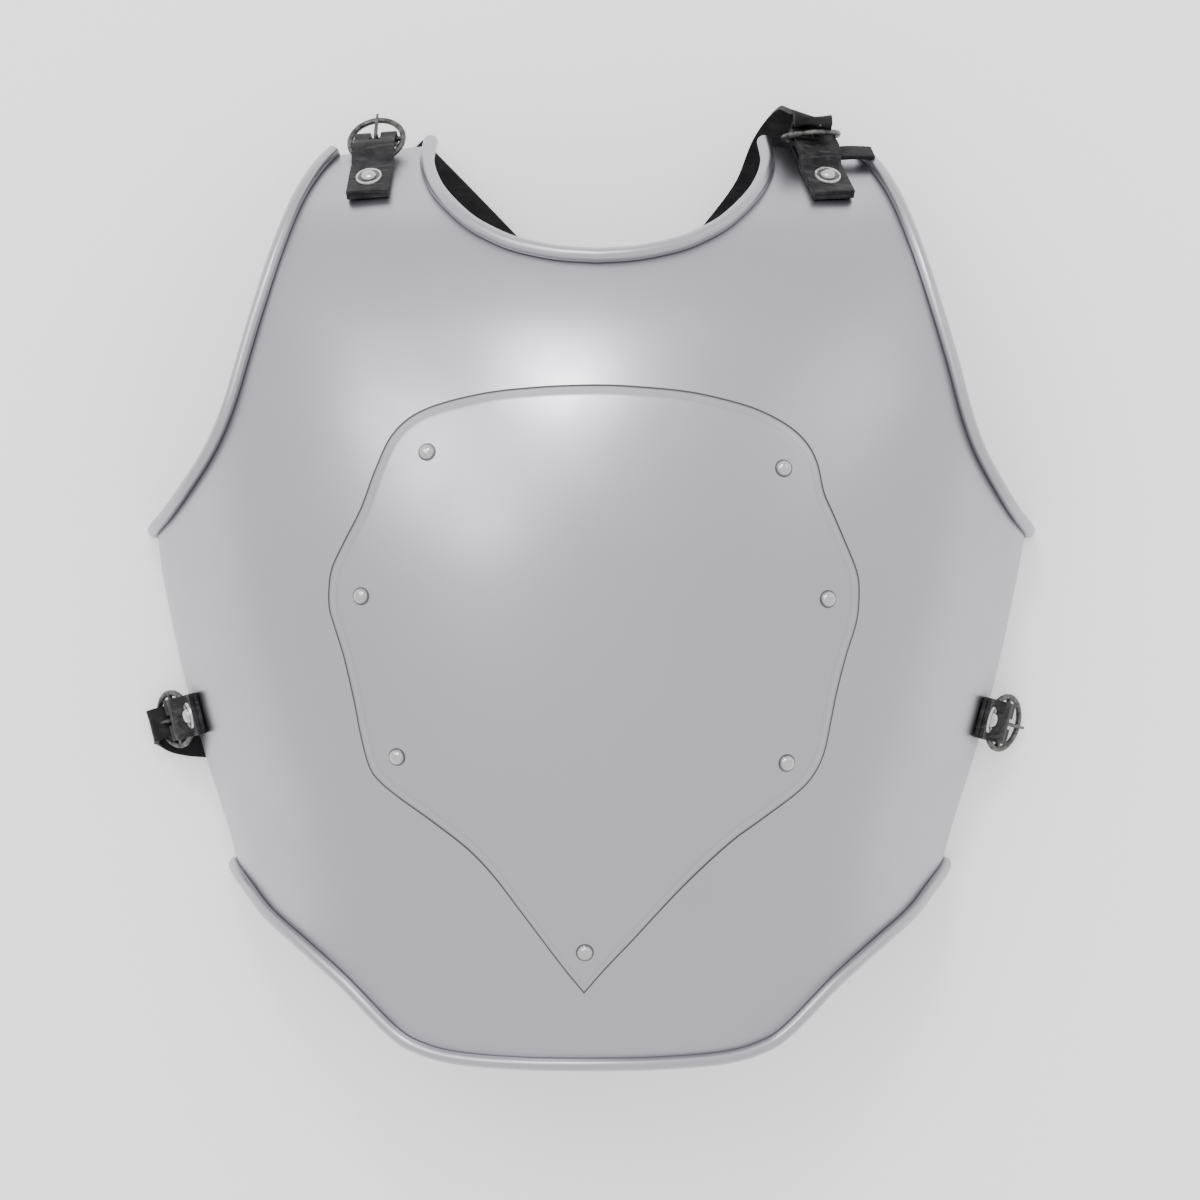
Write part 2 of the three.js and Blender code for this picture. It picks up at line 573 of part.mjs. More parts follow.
// Middle line of each strap with the direction of its width.  Rows with a buckle's name give
// s, a and h in the frame of that buckle's rivet; the others give x, y and z in the part's frame.
const STRAP_A = [
  { at: 'hip_left', s: 12.4, a: 0, h: 1.6, wx: -0.26, wy: 0.97, wz: 0, w: 16 },
  { at: 'hip_left', s: 16, a: 0, h: 1.7, wx: -0.26, wy: 0.97, wz: 0, w: 16 },
  { at: 'hip_left', s: 21, a: 0, h: 1.8, wx: -0.26, wy: 0.97, wz: 0, w: 16 },
  { at: 'hip_left', s: 25, a: 0, h: 3.2, wx: -0.26, wy: 0.97, wz: 0, w: 16 },
  { at: 'hip_left', s: 26.7, a: 0, h: 7.4, wx: -0.26, wy: 0.97, wz: 0, w: 15 },
  { at: 'hip_left', s: 27.4, a: 0, h: 12.4, wx: -0.26, wy: 0.97, wz: 0, w: 15 },
  { at: 'hip_left', s: 30.6, a: 0.5, h: 16.9, wx: -0.26, wy: 0.97, wz: 0, w: 15.5 },
  { at: 'hip_left', s: 35.6, a: 1.5, h: 15.6, wx: -0.26, wy: 0.97, wz: 0, w: 16 },
  { at: 'hip_left', s: 37.4, a: 3, h: 12, wx: -0.24, wy: 0.97, wz: 0, w: 16 },
  { x: -201, y: 153, z: 1.4, wx: -0.15, wy: 1, wz: 0 },
  { x: -190, y: 151, z: 1.2, wx: -0.2, wy: 1, wz: 0 },
  { x: -170, y: 152, z: 1.2, wx: -0.35, wy: 0.95, wz: 0 },
  { x: -135, y: 168, z: 1.2, wx: -0.52, wy: 0.85, wz: 0 },
  { x: -90, y: 205, z: 1.2, wx: -0.66, wy: 0.75, wz: 0 },
  { x: -30, y: 273, z: 2.2, wx: -0.74, wy: 0.67, wz: 0 },
  { x: 12, y: 326.4, z: 2.8, wx: -0.78, wy: 0.63, wz: 0 },
  { x: 38, y: 360, z: 1.6, wx: -0.79, wy: 0.61, wz: 0 },
  { x: 61, y: 390, z: 2.5, wx: -0.79, wy: 0.61, wz: 0 },
  { x: 79, y: 414, z: 9, wx: -0.8, wy: 0.6, wz: 0 },
  { x: 88.5, y: 436, z: 19, wx: -0.86, wy: 0.5, wz: 0 },
  { x: 97, y: 450, z: 34, wx: -0.93, wy: 0.33, wz: 0 },
  { at: 'shoulder_right', s: 27.5, a: 3, h: 21.8, wx: -0.95, wy: 0.3, wz: 0 },
  { at: 'shoulder_right', s: 23.7, a: 2.8, h: 22.6, wx: -0.96, wy: 0.27, wz: 0 },
  { at: 'shoulder_right', s: 25, a: 2.1, h: 19.4, wx: -0.97, wy: 0.1, wz: 0.18, w: 18.5 },
  { at: 'shoulder_right', s: 28.9, a: 1, h: 15.8, wx: -0.98, wy: 0.04, wz: 0.2, w: 17 },
  { at: 'shoulder_right', s: 33.9, a: 0, h: 12.3, wx: -0.98, wy: -0.02, wz: 0.22, w: 16 },
  { at: 'shoulder_right', s: 36.2, a: -0.2, h: 8.3, wx: -0.98, wy: -0.02, wz: 0.22, w: 16 },
  { at: 'shoulder_right', s: 35.2, a: -0.2, h: 4, wx: -0.98, wy: -0.02, wz: 0.22, w: 16 },
  { at: 'shoulder_right', s: 32.6, a: -0.1, h: 1.4, wx: -0.98, wy: -0.02, wz: 0.22, w: 16 },
  { at: 'shoulder_right', s: 28.7, a: 0.2, h: 0.5, wx: -0.98, wy: -0.02, wz: 0.22, w: 16 },
  { at: 'shoulder_right', s: 22.7, a: 0.6, h: 0.8, wx: -0.98, wy: -0.02, wz: 0.22, w: 16 },
  { at: 'shoulder_right', s: 15.7, a: 1.1, h: 1.1, wx: -0.98, wy: -0.02, wz: 0.22, w: 16 },
];
const TAIL_WIDTH = 9.5;
const STRAP_A_TAIL = [              // the strap's narrowed end, turned aside under the chape
  { at: 'shoulder_right', s: 21.5, a: 7.7, h: 2.7, wx: -0.19, wy: 0.59, wz: -0.79 },
  { at: 'shoulder_right', s: 21, a: 0.7, h: 2.8, wx: -0.19, wy: 0.59, wz: -0.79 },
  { at: 'shoulder_right', s: 20.8, a: -9.3, h: 3.8, wx: -0.19, wy: 0.59, wz: -0.79 },
  { at: 'shoulder_right', s: 21.7, a: -17.3, h: 5.6, wx: -0.19, wy: 0.59, wz: -0.79 },
  { at: 'shoulder_right', s: 22.9, a: -28.4, h: 6, wx: -0.19, wy: 0.59, wz: -0.79 },
];
const STRAP_B = [
  { x: 172, y: 176, z: 1.2, wx: -0.62, wy: -0.78, wz: 0 },
  { x: 120, y: 214, z: 1.2, wx: -0.62, wy: -0.78, wz: 0 },
  { x: 60, y: 269, z: 1.8, wx: -0.7, wy: -0.71, wz: 0 },
  { x: 30, y: 304, z: 4.6, wx: -0.72, wy: -0.69, wz: 0 },
  { x: 12, y: 326.4, z: 5.6, wx: -0.74, wy: -0.67, wz: 0 },
  { x: -6, y: 347, z: 4.6, wx: -0.74, wy: -0.67, wz: 0 },
  { x: -43.5, y: 387.5, z: 1.2, wx: -0.74, wy: -0.67, wz: 0 },
  { x: -79, y: 424, z: 1.2, wx: -0.72, wy: -0.69, wz: 0 },
  { x: -88, y: 433, z: 1.2, wx: -0.72, wy: -0.69, wz: 0 },
];
const CROSSING = { x: 12, y: 326.4 };
const CROSS_RIVET = { radius: 3.4, foot: 0.5, top: 8.4, head: 1.4, shoulder: 0.4, sides: 10 };
const STEPS_PER_ROW = 2;
const BAND_CORNERS = [[-1, -1], [1, -1], [1, 1], [-1, 1]];

/** A flat band swept along a table of places, each with the direction of its width. */
function strapGeometry(rows, bandWidth = STRAP_WIDTH) {
  const smooth = (points, type) => new THREE.CatmullRomCurve3(points, false, type);
  const places = smooth(rows.map((r) => vec(r.x, r.y, r.z)), 'centripetal');
  const widths = smooth(rows.map((r) => vec(r.wx, r.wy, r.wz)), 'centripetal');
  const spans = smooth(rows.map((r) => vec(r.w ?? bandWidth, 0, 0)), 'catmullrom');
  const corners = BAND_CORNERS.length;
  const count = (rows.length - 1) * STEPS_PER_ROW;
  const vertices = [];
  const triangles = [];
  for (let k = 0; k <= count; k += 1) {
    const t = k / count;
    const tangent = places.getTangent(t);
    const width = widths.getPoint(t);
    width.addScaledVector(tangent, -width.dot(tangent)).normalize();
    const out = tangent.clone().cross(width);
    const middle = places.getPoint(t);
    const half = spans.getPoint(t).x / 2;
    for (const [a, b] of BAND_CORNERS) {
      const corner = middle.clone().addScaledVector(width, a * half)
        .addScaledVector(out, b * LEATHER / 2);
      vertices.push([corner.x, corner.y, Math.max(0, corner.z)]);
    }
  }
  for (let k = 0; k < count; k += 1) {
    for (let m = 0; m < corners; m += 1) {
      const [a, b] = [corners * k + m, corners * k + (m + 1) % corners];
      triangles.push([a, b, b + corners], [a, b + corners, a + corners]);
    }
  }
  const end = corners * count;
  triangles.push([0, 2, 1], [0, 3, 2], [end, end + 1, end + 2], [end, end + 2, end + 3]);
  return closedSolid(vertices, triangles);
}

// ---------------------------------------------------------------- the assembly

const placardFrames = PLACARD_RIVETS.map((place) => frameOn(planAngle(place), place.y, vec(1, 0, 0)));
const buckleFrames = BUCKLES.map(buckleFrame);
const frameNamed = (name) => buckleFrames[BUCKLES.findIndex((buckle) => buckle.name === name)];

const rivetHoles = [...placardFrames, ...buckleFrames].map(
  (frame) => holeCutter().applyMatrix4(frame.matrixWorld));

addMesh('breast_shell', cut(shellGeometry(), rivetHoles), steel);
addMesh('placard', cut(placardGeometry(), rivetHoles.slice(0, PLACARD_RIVETS.length)), steel);

placardFrames.forEach((frame, i) => {
  breastplate.add(frame);
  const seat = PLACARD.gap + PLACARD.sheet + SEAT_GAP;
  addMesh(`placard_rivet_${i + 1}`, rivetGeometry(seat, -SHEET - PLACARD_TAIL), rivetSteel, frame);
});

BUCKLES.forEach((buckle, i) => {
  const frame = buckleFrames[i];
  breastplate.add(frame);
  addMesh(`${buckle.name}_chape`, chapeGeometry(buckle), blackLeather, frame);
  const seat = buckle.path[0].h + LEATHER + SEAT_GAP;
  addMesh(`${buckle.name}_rivet`, rivetGeometry(seat, -SHEET - CHAPE_TAIL), rivetSteel, frame);
  addMesh(`${buckle.name}_ring`, ringGeometry(buckle), agedSteel, frame);
  addMesh(`${buckle.name}_tongue`, tongueGeometry(buckle), agedSteel, frame);
});

/** Rows of a strap's table with every place in the part's frame. */
const settled = (rows) => rows.map((row) => {
  if (!row.at) return row;
  const place = vec(row.s, row.a, row.h).applyMatrix4(frameNamed(row.at).matrixWorld);
  return { ...row, x: place.x, y: place.y, z: place.z };
});

/** The rivet that joins the straps where they cross: flat below, domed above. */
function crossRivetGeometry() {
  const { radius, foot, top, head, shoulder, sides } = CROSS_RIVET;
  const profile = [
    [0, 0], [radius, 0], [radius, foot], [DOME.shank, foot], [DOME.shank, top - head],
    [radius, top - head], [(radius + DOME.shank) / 2, top - shoulder], [0, top],
  ].map(([x, y]) => new THREE.Vector2(x, y));
  return new THREE.LatheGeometry(profile, sides).rotateX(Math.PI / 2).translate(CROSSING.x, CROSSING.y, 0);
}

/** Room for a tongue's pin through the strap that it holds. */
function pinCutter(name) {
  const { bar, ringAngle, tongueSide = 1, tongueLift = 0 } = BUCKLES.find((buckle) => buckle.name === name);
  const { radius, from, length, sides } = PIN_HOLE;
  const cutter = new THREE.CylinderGeometry(radius, radius, length, sides).rotateZ(-Math.PI / 2);
  cutter.translate(from + length / 2, 0, TONGUE.offset * tongueSide);
  cutter.rotateY(-ringAngle - tongueLift).translate(bar.s, 0, bar.h);
  return cutter.applyMatrix4(frameNamed(name).matrixWorld);
}

const crossHole = holeCutter().translate(CROSSING.x, CROSSING.y, 0);
const strapA = join(strapGeometry(settled(STRAP_A)), [strapGeometry(settled(STRAP_A_TAIL), TAIL_WIDTH)]);
const strapHoles = [crossHole, pinCutter('hip_left')];
addMesh('back_strap_a', cut(strapA, strapHoles), blackLeather);
addMesh('back_strap_b', cut(strapGeometry(STRAP_B), [crossHole]), blackLeather);
addMesh('strap_cross_rivet', crossRivetGeometry(), rivetSteel);

// The tables measure from the middle of the waist edge; the part's origin is under its middle.
const extent = new THREE.Box3().setFromObject(breastplate, true);
const middle = extent.getCenter(vec(0, 0, 0));
breastplate.position.set(-middle.x, -middle.y, -extent.min.z);
breastplate.updateMatrixWorld(true);

export default breastplate;
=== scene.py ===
import logging
import math
from bisect import bisect_right
from dataclasses import dataclass, field
from enum import Enum
from typing import Callable, Iterable, Sequence

import bmesh
import bpy
from mathutils import Matrix, Vector, noise


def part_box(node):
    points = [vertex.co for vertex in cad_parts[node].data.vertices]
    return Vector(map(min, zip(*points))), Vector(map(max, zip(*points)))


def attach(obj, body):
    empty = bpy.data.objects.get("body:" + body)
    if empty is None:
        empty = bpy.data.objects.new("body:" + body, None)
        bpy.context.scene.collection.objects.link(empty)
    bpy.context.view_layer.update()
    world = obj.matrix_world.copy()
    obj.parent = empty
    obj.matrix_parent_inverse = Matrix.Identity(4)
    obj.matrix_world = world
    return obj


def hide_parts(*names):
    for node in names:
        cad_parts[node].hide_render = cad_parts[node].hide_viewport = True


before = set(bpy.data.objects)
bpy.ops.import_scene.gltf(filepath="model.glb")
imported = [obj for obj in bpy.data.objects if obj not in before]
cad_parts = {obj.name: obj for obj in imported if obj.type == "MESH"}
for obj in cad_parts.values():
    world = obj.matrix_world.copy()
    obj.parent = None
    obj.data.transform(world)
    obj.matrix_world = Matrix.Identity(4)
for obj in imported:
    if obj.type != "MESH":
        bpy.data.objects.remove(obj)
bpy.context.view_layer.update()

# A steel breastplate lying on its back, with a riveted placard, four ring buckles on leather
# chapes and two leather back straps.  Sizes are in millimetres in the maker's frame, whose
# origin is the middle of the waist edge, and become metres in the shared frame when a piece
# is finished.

LOG = logging.getLogger("breastplate")
MM = 0.001
WELD = 1e-3                               # vertices closer than this are one
SMOOTH_LIMIT = math.radians(38)
QUARTER = math.pi / 2
PLATE_BODY = "plate"
CROSSING = Vector((12.0, 326.4, 0.0))     # where the straps cross, in the maker's frame

Pair = tuple[float, float]
Triple = tuple[float, float, float]
Mesh = bmesh.types.BMesh
Ring = dict[bmesh.types.BMVert, object]
Socket = bpy.types.NodeSocket


def maker_origin() -> Vector:
    """Place of the maker's origin in the shared frame, in millimetres, from the crossing rivet."""
    low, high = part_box("strap_cross_rivet")
    middle = (Vector(low) + Vector(high)) * 0.5 / MM
    return Vector((middle.x - CROSSING.x, middle.y - CROSSING.y, 0.0))


ORIGIN = maker_origin()


# --- curves

def smooth_step(t: float) -> float:
    """Ease from 0 to 1."""
    return t * t * (3.0 - 2.0 * t)


def clamp(value: float, low: float, high: float) -> float:
    """Keep a value between two limits."""
    return min(high, max(low, value))


def polar(radius: float, angle: float) -> Pair:
    """Plane coordinates of a polar place."""
    return radius * math.cos(angle), radius * math.sin(angle)


def hermite(a: object, b: object, start: object, end: object, t: float) -> object:
    """Cubic from a to b with the given slopes at its start and end."""
    t2, t3 = t * t, t * t * t
    return a * (2 * t3 - 3 * t2 + 1) + b * (3 * t2 - 2 * t3) + start * (t3 - 2 * t2 + t) + end * (t3 - t2)


def curve_point(points: Sequence[Vector], at: float, centripetal: bool) -> Vector:
    """Point of a Catmull-Rom curve.

    Args:
        points: places that the curve passes through.
        at: place along it, in rows from the first.
        centripetal: whether the knots follow the distance between the places.

    Returns:
        The point on the curve.
    """
    last = len(points) - 1
    row = min(int(at), last - 1)
    b, c = points[row], points[row + 1]
    a = points[row - 1] if row > 0 else b * 2 - c
    d = points[row + 2] if row + 2 <= last else c * 2 - b
    if not centripetal:
        return hermite(b, c, (c - a) * 0.5, (d - b) * 0.5, at - row)
    first, middle, third = (max((q - p).length ** 0.5, 1e-4) for p, q in ((a, b), (b, c), (c, d)))
    start = ((b - a) / first - (c - a) / (first + middle) + (c - b) / middle) * middle
    end = ((c - b) / middle - (d - b) / (middle + third) + (d - c) / third) * middle
    return hermite(b, c, start, end, at - row)


def fine_line(points: Sequence[Vector], detail: int, centripetal: bool) -> list[Vector]:
    """Points along a whole curve, with so many steps between two places."""
    count = (len(points) - 1) * detail
    return [curve_point(points, k / detail, centripetal) for k in range(count + 1)]


def running_length(line: Sequence[Vector]) -> list[float]:
    """Length of a line up to each of its points."""
    reach = [0.0]
    for a, b in zip(line, line[1:]):
        reach.append(reach[-1] + (b - a).length)
    return reach


def point_along(line: Sequence[Vector], reach: Sequence[float], goal: float) -> Vector:
    """Point of a line at a length along it."""
    high = min(bisect_right(reach, goal), len(line) - 1)
    low = high - 1
    return line[low].lerp(line[high], (goal - reach[low]) / (reach[high] - reach[low]))


def even_points(line: Sequence[Vector], step: float) -> list[Vector]:
    """Points along a line at an even distance."""
    reach = running_length(line)
    count = round(reach[-1] / step)
    return [point_along(line, reach, reach[-1] * k / count) for k in range(count + 1)]


@dataclass
class EvenCurve:
    """A smooth curve through places in plan, read evenly along its length.

    Attributes:
        places: (x, y) pairs.
        detail: straight steps between two places.
    """

    places: Sequence[Pair]
    detail: int = 24
    line: list[Vector] = field(init=False)
    reach: list[float] = field(init=False)

    def __post_init__(self) -> None:
        """Lay out the fine line and its running length."""
        self.line = fine_line([Vector((x, y, 0.0)) for x, y in self.places], self.detail, False)
        self.reach = running_length(self.line)

    @property
    def length(self) -> float:
        """Length of the curve."""
        return self.reach[-1]

    def at(self, share: float) -> Vector:
        """Point at a share of the length."""
        return point_along(self.line, self.reach, clamp(share, 0.0, 1.0) * self.length)


def edge_shares(length: float, steps: int, margin: float, ends: int = 2) -> list[float]:
    """Shares of an edge's length with a short step at one end or both.

    Args:
        length: length of the edge.
        steps: even steps past the short ones.
        margin: length of each short step.
        ends: 2 for a short step at both ends, 1 for the first alone.

    Returns:
        Shares from 0 to 1.
    """
    ease = margin / length
    inner = [ease + (1.0 - ends * ease) * k / steps for k in range(steps + 1)]
    return [0.0, *inner, 1.0][:steps + 1 + ends]


# --- the body's form

@dataclass(frozen=True)
class BodyForm:
    """The outer face of the plate, as a function of the angle round the body and the height.

    Attributes:
        sections: y, half of the width and height of the crown at each row.
        lean_reach: sideways lean at the neck.
        lean_from, lean_to: heights between which the lean grows.
        probe_angle, probe_height: steps by which the face's direction is found.
    """

    sections: tuple[Triple, ...] = (
        (-15, 147, 102), (0, 152, 108), (60, 164, 126), (100, 173, 137), (150, 188.5, 147),
        (200, 201, 150), (250, 210, 148), (300, 212.5, 139), (340, 209, 126), (370, 206, 111),
        (390, 203, 96.5), (405, 201, 81), (420, 198.5, 59.5), (434, 196, 33), (442, 195, 15),
    )
    lean_reach: float = 3.6
    lean_from: float = 220.0
    lean_to: float = 330.0
    probe_angle: float = 1e-3
    probe_height: float = 1e-3

    def along(self, column: int, y: float) -> float:
        """Smooth value of one column of the sections at a height."""
        rows = self.sections
        i = 0
        while i < len(rows) - 2 and rows[i + 1][0] < y:
            i += 1

        def slope(k: int) -> float:
            """Slope of the column at row k."""
            a, b = rows[max(0, k - 1)], rows[min(len(rows) - 1, k + 1)]
            return (b[column] - a[column]) / (b[0] - a[0])

        here, there = rows[i], rows[i + 1]
        span = there[0] - here[0]
        share = (y - here[0]) / span
        return hermite(here[column], there[column], span * slope(i), span * slope(i + 1), share)

    def half_width(self, y: float) -> float:
        """Half of the body's width."""
        return self.along(1, y)

    def crown(self, y: float) -> float:
        """Height of the body's middle line."""
        return self.along(2, y)

    def lean(self, y: float) -> float:
        """Sideways lean towards the neck."""
        t = clamp((y - self.lean_from) / (self.lean_to - self.lean_from), 0.0, 1.0)
        return self.lean_reach * smooth_step(t)

    def point(self, q: float, y: float) -> Vector:
        """Point of the outer face."""
        return Vector((self.half_width(y) * math.sin(q) + self.lean(y), y, self.crown(y) * math.cos(q)))

    def normal(self, q: float, y: float) -> Vector:
        """Outward direction at a point of the outer face."""
        dq, dy = self.probe_angle, self.probe_height
        along_q = self.point(q + dq, y) - self.point(q - dq, y)
        along_y = self.point(q, y + dy) - self.point(q, y - dy)
        return along_q.cross(along_y).normalized()

    def angle(self, x: float, y: float) -> float:
        """Angle of a point given by its distance from the middle line."""
        return math.asin(clamp(x / self.half_width(y), -1.0, 1.0))

    def plan_angle(self, x: float, y: float) -> float:
        """Angle of a point given by its place in plan."""
        return self.angle(x - self.lean(y), y)

    def above(self, q: float, y: float, out: float) -> Vector:
        """Point at a distance outside the face."""
        return self.point(q, y) + self.normal(q, y) * out

    def frame_at(self, q: float, y: float, heading: Vector) -> Matrix:
        """Frame on the face: +Z is the normal and +X is the heading laid on the face."""
        normal = self.normal(q, y)
        across = normal.cross(heading).normalized()
        along = across.cross(normal).normalized()
        turn = Matrix((along, across, normal)).transposed().to_4x4()
        return Matrix.Translation(self.point(q, y)) @ turn


FORM = BodyForm()


# --- shader groups

class Tree:
    """A thin helper round a node tree: adds nodes and joins them."""

    def __init__(self, tree: bpy.types.NodeTree) -> None:
        """Hold the tree."""
        self.tree = tree

    def feed(self, node: bpy.types.Node, values: dict) -> bpy.types.Node:
        """Set inputs of a node, by name or index, to values or join them to sockets."""
        for key, value in values.items():
            if isinstance(value, Socket):
                self.tree.links.new(value, node.inputs[key])
            else:
                node.inputs[key].default_value = value
        return node

    def node(self, kind: str, values: dict | None = None, **settings) -> bpy.types.Node:
        """Add a node of a kind with its inputs and its own settings."""
        node = self.tree.nodes.new(kind)
        for key, value in settings.items():
            setattr(node, key, value)
        return self.feed(node, values or {})

    def math(self, operation: str, a: object, b: object) -> Socket:
        """Result of a maths node."""
        return self.node("ShaderNodeMath", {0: a, 1: b}, operation=operation).outputs[0]

    def add(self, a: object, b: object) -> Socket:
        """Sum of two values."""
        return self.math("ADD", a, b)

    def times(self, a: object, b: object) -> Socket:
        """Product of two values."""
        return self.math("MULTIPLY", a, b)

    def ramp(self, value: Socket, low: float, high: float,
             to_low: float = 0.0, to_high: float = 1.0) -> Socket:
        """A value spread from one range to another, kept inside it."""
        return self.node("ShaderNodeMapRange", {
            "Value": value, "From Min": low, "From Max": high, "To Min": to_low, "To Max": to_high,
        }).outputs["Result"]

    def noise(self, vector: Socket, scale: float, detail: float, roughness: float,
              stretch: Triple | None = None) -> Socket:
        """Soft noise from 0 to 1, in coordinates that may be stretched along each axis."""
        if stretch:
            vector = self.node("ShaderNodeMapping", {"Vector": vector, "Scale": stretch}).outputs["Vector"]
        return self.node("ShaderNodeTexNoise", {
            "Vector": vector, "Scale": scale, "Detail": detail, "Roughness": roughness,
        }).outputs["Fac"]

    def mix(self, share: object, a: object, b: object) -> Socket:
        """Two colours mixed."""
        return self.node("ShaderNodeMix", {0: share, 6: a, 7: b}, data_type="RGBA").outputs[2]


FLOAT = "NodeSocketFloat"
COLOR = "NodeSocketColor"
VECTOR = "NodeSocketVector"
GROUP_OUTPUTS = {"Color": COLOR, "Roughness": FLOAT, "Height": FLOAT}


def new_group(name: str, **defaults) -> tuple[Tree, dict[str, Socket]]:
    """Start a shader node group that gives a colour, a roughness and a height.

    Args:
        name: the group's name.
        defaults: each input's default: a number, or a colour of four.

    Returns:
        The group's tree and the sockets of its inputs, "Vector" among them.
    """
    group = bpy.data.node_groups.new(name, "ShaderNodeTree")
    for key, default in {"Vector": (0.0, 0.0, 0.0), **defaults}.items():
        kind = VECTOR if key == "Vector" else COLOR if isinstance(default, tuple) else FLOAT
        group.interface.new_socket(name=key, in_out="INPUT", socket_type=kind).default_value = default
    for key, kind in GROUP_OUTPUTS.items():
        group.interface.new_socket(name=key, in_out="OUTPUT", socket_type=kind)
    tree = Tree(group)
    return tree, tree.node("NodeGroupInput").outputs


def ground_steel(name: str) -> None:
    """Sheet steel: soft clouds of handling, fine grinding streaks, and painted shade darkening its seams."""
    tree, given = new_group(name, Steel=(0.5, 0.5, 0.5, 1.0), Soot=0.0, Roughness=0.35, Spread=0.08,
                            Streaks=0.5)
    place, spread, painted_shade = given["Vector"], given["Spread"], given["Soot"]
    clouds = tree.noise(place, scale=9.0, detail=4.0, roughness=0.6)
    patches = tree.noise(place, scale=34.0, detail=5.0, roughness=0.65)
    streaks = tree.noise(place, scale=1.0, detail=3.0, roughness=0.6, stretch=(240.0, 2600.0, 900.0))
    broad = tree.times(spread, tree.ramp(clouds, 0.3, 0.7, -1.0, 1.0))
    fine = tree.times(0.25, tree.times(spread, tree.ramp(patches, 0.35, 0.65, -1.0, 1.0)))
    rough = tree.add(tree.add(tree.add(given["Roughness"], broad), fine), tree.times(painted_shade, 0.25))
    dull = tree.mix(tree.ramp(clouds, 0.35, 0.75, 0.0, 0.22), given["Steel"], (0.31, 0.31, 0.325, 1.0))
    # Painted shade: the seam mask mixes the steel towards near-black where shade falls in seams, under heads
    # and round the placard.
    shaded_steel = tree.mix(tree.times(painted_shade, 0.9), dull, (0.03, 0.03, 0.032, 1.0))
    height = tree.times(streaks, given["Streaks"])
    tree.node("NodeGroupOutput", {"Color": shaded_steel, "Roughness": rough, "Height": height})


def strap_leather(name: str) -> None:
    """Leather: fine pebbled grain, long creases and worn high places."""
    tree, given = new_group(name, Hide=(0.02, 0.02, 0.02, 1.0), Worn=(0.08, 0.08, 0.08, 1.0), Wear=0.0)
    place = given["Vector"]
    cells = tree.node("ShaderNodeTexVoronoi", {"Vector": place, "Scale": 1500.0}).outputs["Distance"]
    creases = tree.noise(place, scale=1.0, detail=4.0, roughness=0.6, stretch=(60.0, 420.0, 420.0))
    blotches = tree.noise(place, scale=160.0, detail=4.0, roughness=0.6)
    worn = tree.math("MAXIMUM", tree.ramp(blotches, 0.42, 0.75), tree.ramp(creases, 0.5, 0.62))
    color = tree.mix(tree.times(worn, given["Wear"]), given["Hide"], given["Worn"])
    rough = tree.add(tree.ramp(blotches, 0.3, 0.7, 0.38, 0.56), tree.times(cells, 0.1))
    height = tree.add(tree.times(cells, 0.5), tree.times(creases, 0.8))
    tree.node("NodeGroupOutput", {"Color": color, "Roughness": rough, "Height": height})


def aged_wire(name: str) -> None:
    """Dark steel wire: blackened hollows and rubbed bright places."""
    tree, given = new_group(name, Bright=(0.4, 0.4, 0.39, 1.0), Dark=(0.05, 0.05, 0.05, 1.0), Age=0.5)
    patches = tree.noise(given["Vector"], scale=330.0, detail=5.0, roughness=0.65)
    specks = tree.noise(given["Vector"], scale=1900.0, detail=3.0, roughness=0.6)
    share = tree.times(tree.ramp(patches, 0.38, 0.68), given["Age"])
    tree.node("NodeGroupOutput", {
        "Color": tree.mix(share, given["Bright"], given["Dark"]),
        "Roughness": tree.ramp(patches, 0.3, 0.7, 0.3, 0.55),
        "Height": tree.add(specks, tree.times(patches, 1.6)),
    })


class SharedGroup(Enum):
    """The shader groups, each built once."""

    GROUND_STEEL = "ground_steel"
    LEATHER = "strap_leather"
    AGED_WIRE = "aged_wire"

    def tree(self) -> bpy.types.NodeTree:
        """The group's node tree."""
        makers: dict[str, Callable[[str], None]] = {
            "ground_steel": ground_steel, "strap_leather": strap_leather, "aged_wire": aged_wire,
        }
        if self.value not in bpy.data.node_groups:
            makers[self.value](self.value)
        return bpy.data.node_groups[self.value]


# --- finishes

def new_material(name: str, values: dict) -> tuple[bpy.types.Material, Tree, bpy.types.Node]:
    """Start a material.

    Args:
        name: the material's name.
        values: constants of its shader.

    Returns:
        The material, its tree and its shader.
    """
    material = bpy.data.materials.new(name)
    material.use_nodes = True
    shader = next(n for n in material.node_tree.nodes if n.type == "BSDF_PRINCIPLED")
    tree = Tree(material.node_tree)
    tree.feed(shader, values)
    return material, tree, shader


@dataclass(frozen=True)
class Finish:
    """A finish made from one shared group.

    Attributes:
        name: the material's name.
        slot: the record's material slot; not used.
        group: the shader group that gives its colour, roughness and height.
        values: the group's own values.
        metallic: whether it is metal.
        bump: height of the relief, in metres.
        painted_shade: name of the mesh attribute that holds painted shade darkening seams, or none.
        specular: strength of the reflection of what isn't metal.
    """

    name: str
    slot: str
    group: SharedGroup
    values: dict
    metallic: float
    bump: float
    painted_shade: str = ""
    specular: float = 0.5

    def material(self) -> bpy.types.Material:
        """The material, built on first use."""
        found = bpy.data.materials.get(self.name)
        if found:
            return found
        material, tree, shader = new_material(
            self.name, {"Metallic": self.metallic, "Specular IOR Level": self.specular})
        place = tree.node("ShaderNodeTexCoord").outputs["Object"]
        group = tree.node("ShaderNodeGroup", node_tree=self.group.tree())
        tree.feed(group, {"Vector": place, **self.values})
        # Painted shade: a mesh attribute darkens seams and the feet of rolls, rims and heads.
        if self.painted_shade:
            painted_shade = tree.node("ShaderNodeAttribute", attribute_name=self.painted_shade).outputs["Fac"]
            tree.feed(group, {"Soot": painted_shade})
        bump = tree.node("ShaderNodeBump", {
            "Height": group.outputs["Height"], "Strength": 1.0, "Distance": self.bump,
        })
        tree.feed(shader, {
            "Base Color": group.outputs["Color"], "Roughness": group.outputs["Roughness"],
            "Normal": bump.outputs["Normal"],
        })
        return material
